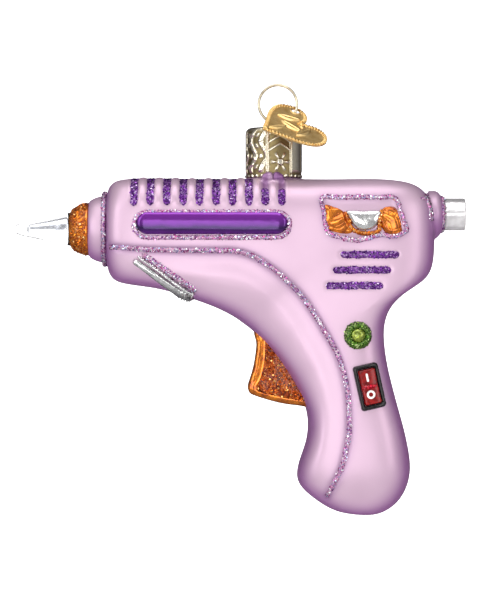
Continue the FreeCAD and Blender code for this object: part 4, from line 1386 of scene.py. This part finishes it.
def tagPiece():
    # a stamped heart plate with a notched rim, hanging from the ring by its hole
    drop, slope, tilt, spin = (math.radians(tagShape[k]) for k in ("hang", "slope", "tilt", "spin"))
    ring = 4.33
    hook = Vector((math.cos(drop) * ring, 0, -4.0 - math.sin(drop) * ring))
    line = Vector((math.cos(slope), 0, math.sin(slope)))
    up = Vector((-math.sin(slope), 0, math.cos(slope)))
    across = up * math.cos(tilt) + Vector((0, math.sin(tilt), 0))
    normal = line.cross(across)
    rim = []
    for k in range(240):
        p = heartAt(2 * math.pi * k / 240)
        if p.y < -0.8:
            p.y = -0.8 + (p.y + 0.8) * 0.5
        rim.append(p)
    rim.append(rim[0])
    half, hole, thick = tagShape["half"], Vector(tagShape["hole"]), tagShape["thick"]

    def field(p):
        return min(insideLine(p, rim) * half, (p - hole).length * half - tagShape["holeR"])

    def spot(p):
        x, z = p - hole
        return hook + line * (x * math.cos(spin) - z * math.sin(spin)) * half + across * (x * math.sin(spin)
                + z * math.cos(spin)) * half

    along = [0.0]
    for a, b in zip(rim, rim[1:]):
        along.append(along[-1] + (b - a).length)

    def walkAt(p):
        near = min(range(241), key=lambda k: (rim[k] - p).length)
        a, b = rim[near - 1 if near else 239], rim[(near + 1) % 240]
        t = (p - a).dot(b - a) / max((b - a).length_squared, 1e-9)
        lo, hi = along[near - 1 if near else 239], along[near + 1 if near < 240 else 1]
        return lo + (hi - lo) * t if hi > lo else along[near]

    def motif(q):
        # a small raised leaf spray in place of any lettering
        rise = 0.0
        for cx, cz, angle, length, wide in tagShape["leaves"]:
            d = Matrix.Rotation(-angle, 2) @ (q - Vector((cx, cz)))
            t = abs(d.x) / length
            if t < 1:
                w = wide * (1 - t * t)
                edge = abs(d.y) / max(w, 1e-6)
                rise = max(rise, 0.30 * smoothStep(1.25, 0.6, edge) - 0.16 * smoothStep(0.35, 0.0, edge))
        return rise

    bm = bmesh.new()
    bmesh.ops.create_grid(bm, x_segments=170, y_segments=150, size=1)
    flat = {}
    for v in bm.verts:
        p = Vector((v.co.x * 1.02, v.co.y * 0.98 - 0.02))
        flat[v] = [p, field(p)]
    gone = [v for v, (p, d) in flat.items() if d < -0.05]
    for v in gone:
        del flat[v]
    bmesh.ops.delete(bm, geom=gone, context="VERTS")
    for v in [v for v in bm.verts if not v.link_faces]:
        del flat[v]
        bm.verts.remove(v)
    for v in bm.verts:
        if v.is_boundary:
            p, d = flat[v]
            for again in range(3):
                g = Vector((field(p + Vector((0.002, 0))) - d, field(p + Vector((0, 0.002))) - d)) / 0.002
                p = p - g * d / max(g.length_squared, 10)
                d = field(p)
            flat[v] = [p, d]
    for v in bm.verts:
        p, d = flat[v]
        fromRim = insideLine(p, rim) * half
        rise = 0.0
        if fromRim < 0.95:
            notch = 0.5 + 0.5 * math.cos(walkAt(p) * 2 * math.pi * tagShape["notches"] / along[-1])
            rise = (0.28 - 0.62 * notch * notch) * smoothStep(0.0, 0.1, fromRim) * smoothStep(0.95, 0.75,
                    fromRim)
        fromHole = (p - hole).length * half - tagShape["holeR"]
        rise += 0.10 * smoothStep(0.0, 0.12, fromHole) * smoothStep(0.5, 0.3, fromHole)
        rise += motif(p) + 0.02 * noise.noise(Vector((p.x * 4, p.y * 4, 2)))
        v.co = (spot(p) + normal * (thick / 2 + rise)) * mm
    bmesh.ops.recalc_face_normals(bm, faces=bm.faces)
    if sum(f.normal.dot(normal) for f in bm.faces) < 0:
        bmesh.ops.reverse_faces(bm, faces=bm.faces[:])
    out = bmesh.ops.extrude_face_region(bm, geom=bm.faces[:], use_keep_orig=True)
    for v in [g for g in out["geom"] if isinstance(g, bmesh.types.BMVert)]:
        away = (v.co / mm - hook).dot(normal)
        v.co -= normal * (away + thick / 2) * mm
    bmesh.ops.recalc_face_normals(bm, faces=bm.faces)
    obj = toMesh(bm, "heartTag", finishes["tag"])
    obj.data.polygons.foreach_set("use_smooth",
                                  [abs(Vector(f.normal).dot(normal)) > 0.35 for f in obj.data.polygons])
    finishPiece(obj, "tag", "tag_metal", "heart_tag")


cap()
tagPiece()
for node in ("hanging_ring", "hanger_wire"):
    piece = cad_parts[node]
    piece.data.materials.clear()
    piece.data.materials.append(finishes["wire"])
    piece.data.polygons.foreach_set("use_smooth", [True] * len(piece.data.polygons))
print("metal done")
# camera, light and backdrop

cameraData = bpy.data.cameras.new("camera")
cameraData.lens = 150
camera = bpy.data.objects.new("camera", cameraData)
camera.location = Vector((-8.59, 0, -48.38)) * mm
camera.location.y = -0.136 / 2 / math.tan(math.atan(18 / 150))
camera.rotation_euler = (math.pi / 2, 0, 0)
bpy.context.scene.collection.objects.link(camera)
bpy.context.scene.camera = camera

roomShape = {"floor": -0.128, "wide": 1.6, "front": -1.2, "wall": 0.9, "height": 1.3, "bend": 0.35}


def backdrop():
    # a pale sweep: floor, soft bend, wall
    s = roomShape
    bm = bmesh.new()
    line = [(s["front"], s["floor"])]
    line += [(s["wall"] - s["bend"] + s["bend"] * math.sin(a),
              s["floor"] + s["bend"] - s["bend"] * math.cos(a))
             for a in (k * math.pi / 32 for k in range(17))]
    line.append((s["wall"], s["height"]))
    points = [bm.verts.new((-s["wide"], y, z)) for y, z in line]
    edges = [bm.edges.new(pair) for pair in zip(points, points[1:])]
    out = bmesh.ops.extrude_edge_only(bm, edges=edges)
    bmesh.ops.translate(bm, verts=[g for g in out["geom"] if isinstance(g, bmesh.types.BMVert)],
                        vec=(2 * s["wide"], 0, 0))
    bmesh.ops.recalc_face_normals(bm, faces=bm.faces)
    f = Finish("paper", Metallic=0.0)
    grain = f.noise(4, 3)
    f.put(Base_Color=f.ramp(grain, (0.2, (0.86, 0.86, 0.865)), (0.8, (0.90, 0.90, 0.90))),
          Roughness=0.7 + grain * 0.2)
    f.shader.inputs["Emission Color"].default_value = (1, 1, 1, 1)
    f.shader.inputs["Emission Strength"].default_value = 1.0
    obj = toMesh(bm, "backdrop", f.material)
    obj.visible_glossy = False


backdrop()


def panelLight(name, at, aim, size, energy, tint=(1, 1, 1)):
    data = bpy.data.lights.new(name, "AREA")
    data.shape = "RECTANGLE"
    data.size, data.size_y = size
    data.energy = energy
    data.color = tint
    obj = bpy.data.objects.new(name, data)
    obj.location = at
    obj.rotation_mode = "QUATERNION"
    obj.rotation_quaternion = (Vector(aim) - Vector(at)).to_track_quat("-Z", "Y")
    bpy.context.scene.collection.objects.link(obj)


middle = (-0.008, 0, -0.05)
panelLight("overhead", (-0.05, -0.18, 0.42), middle, (0.6, 0.4), 1.8)
panelLight("left", (-0.5, -0.35, 0.08), middle, (0.22, 0.5), 1.0, (0.98, 0.98, 1.0))
panelLight("right", (0.5, -0.45, 0.05), middle, (0.18, 0.5), 0.8, (1.0, 0.98, 0.97))
panelLight("front", (-0.10, -0.75, -0.10), middle, (0.5, 0.4), 1.7)

world = bpy.data.worlds.new("room")
bpy.context.scene.world = world
world.use_nodes = True
nodes, links = world.node_tree.nodes, world.node_tree.links
where = nodes.new("ShaderNodeTexCoord")
split = nodes.new("ShaderNodeSeparateXYZ")
facing = nodes.new("ShaderNodeMath")
facing.operation = "MULTIPLY_ADD"
facing.inputs[1].default_value = -0.5
facing.inputs[2].default_value = 0.5
sky = nodes.new("ShaderNodeValToRGB")
sky.color_ramp.elements[0].color = (0.10, 0.09, 0.11, 1)
sky.color_ramp.elements[1].color = (0.95, 0.95, 0.97, 1)
sky.color_ramp.elements[0].position = 0.15
sky.color_ramp.elements[1].position = 0.75
links.new(where.outputs["Generated"], split.inputs[0])
links.new(split.outputs[1], facing.inputs[0])
links.new(facing.outputs[0], sky.inputs[0])
links.new(sky.outputs[0], nodes["Background"].inputs[0])
nodes["Background"].inputs[1].default_value = 0.5
bpy.context.scene.view_settings.view_transform = "Standard"
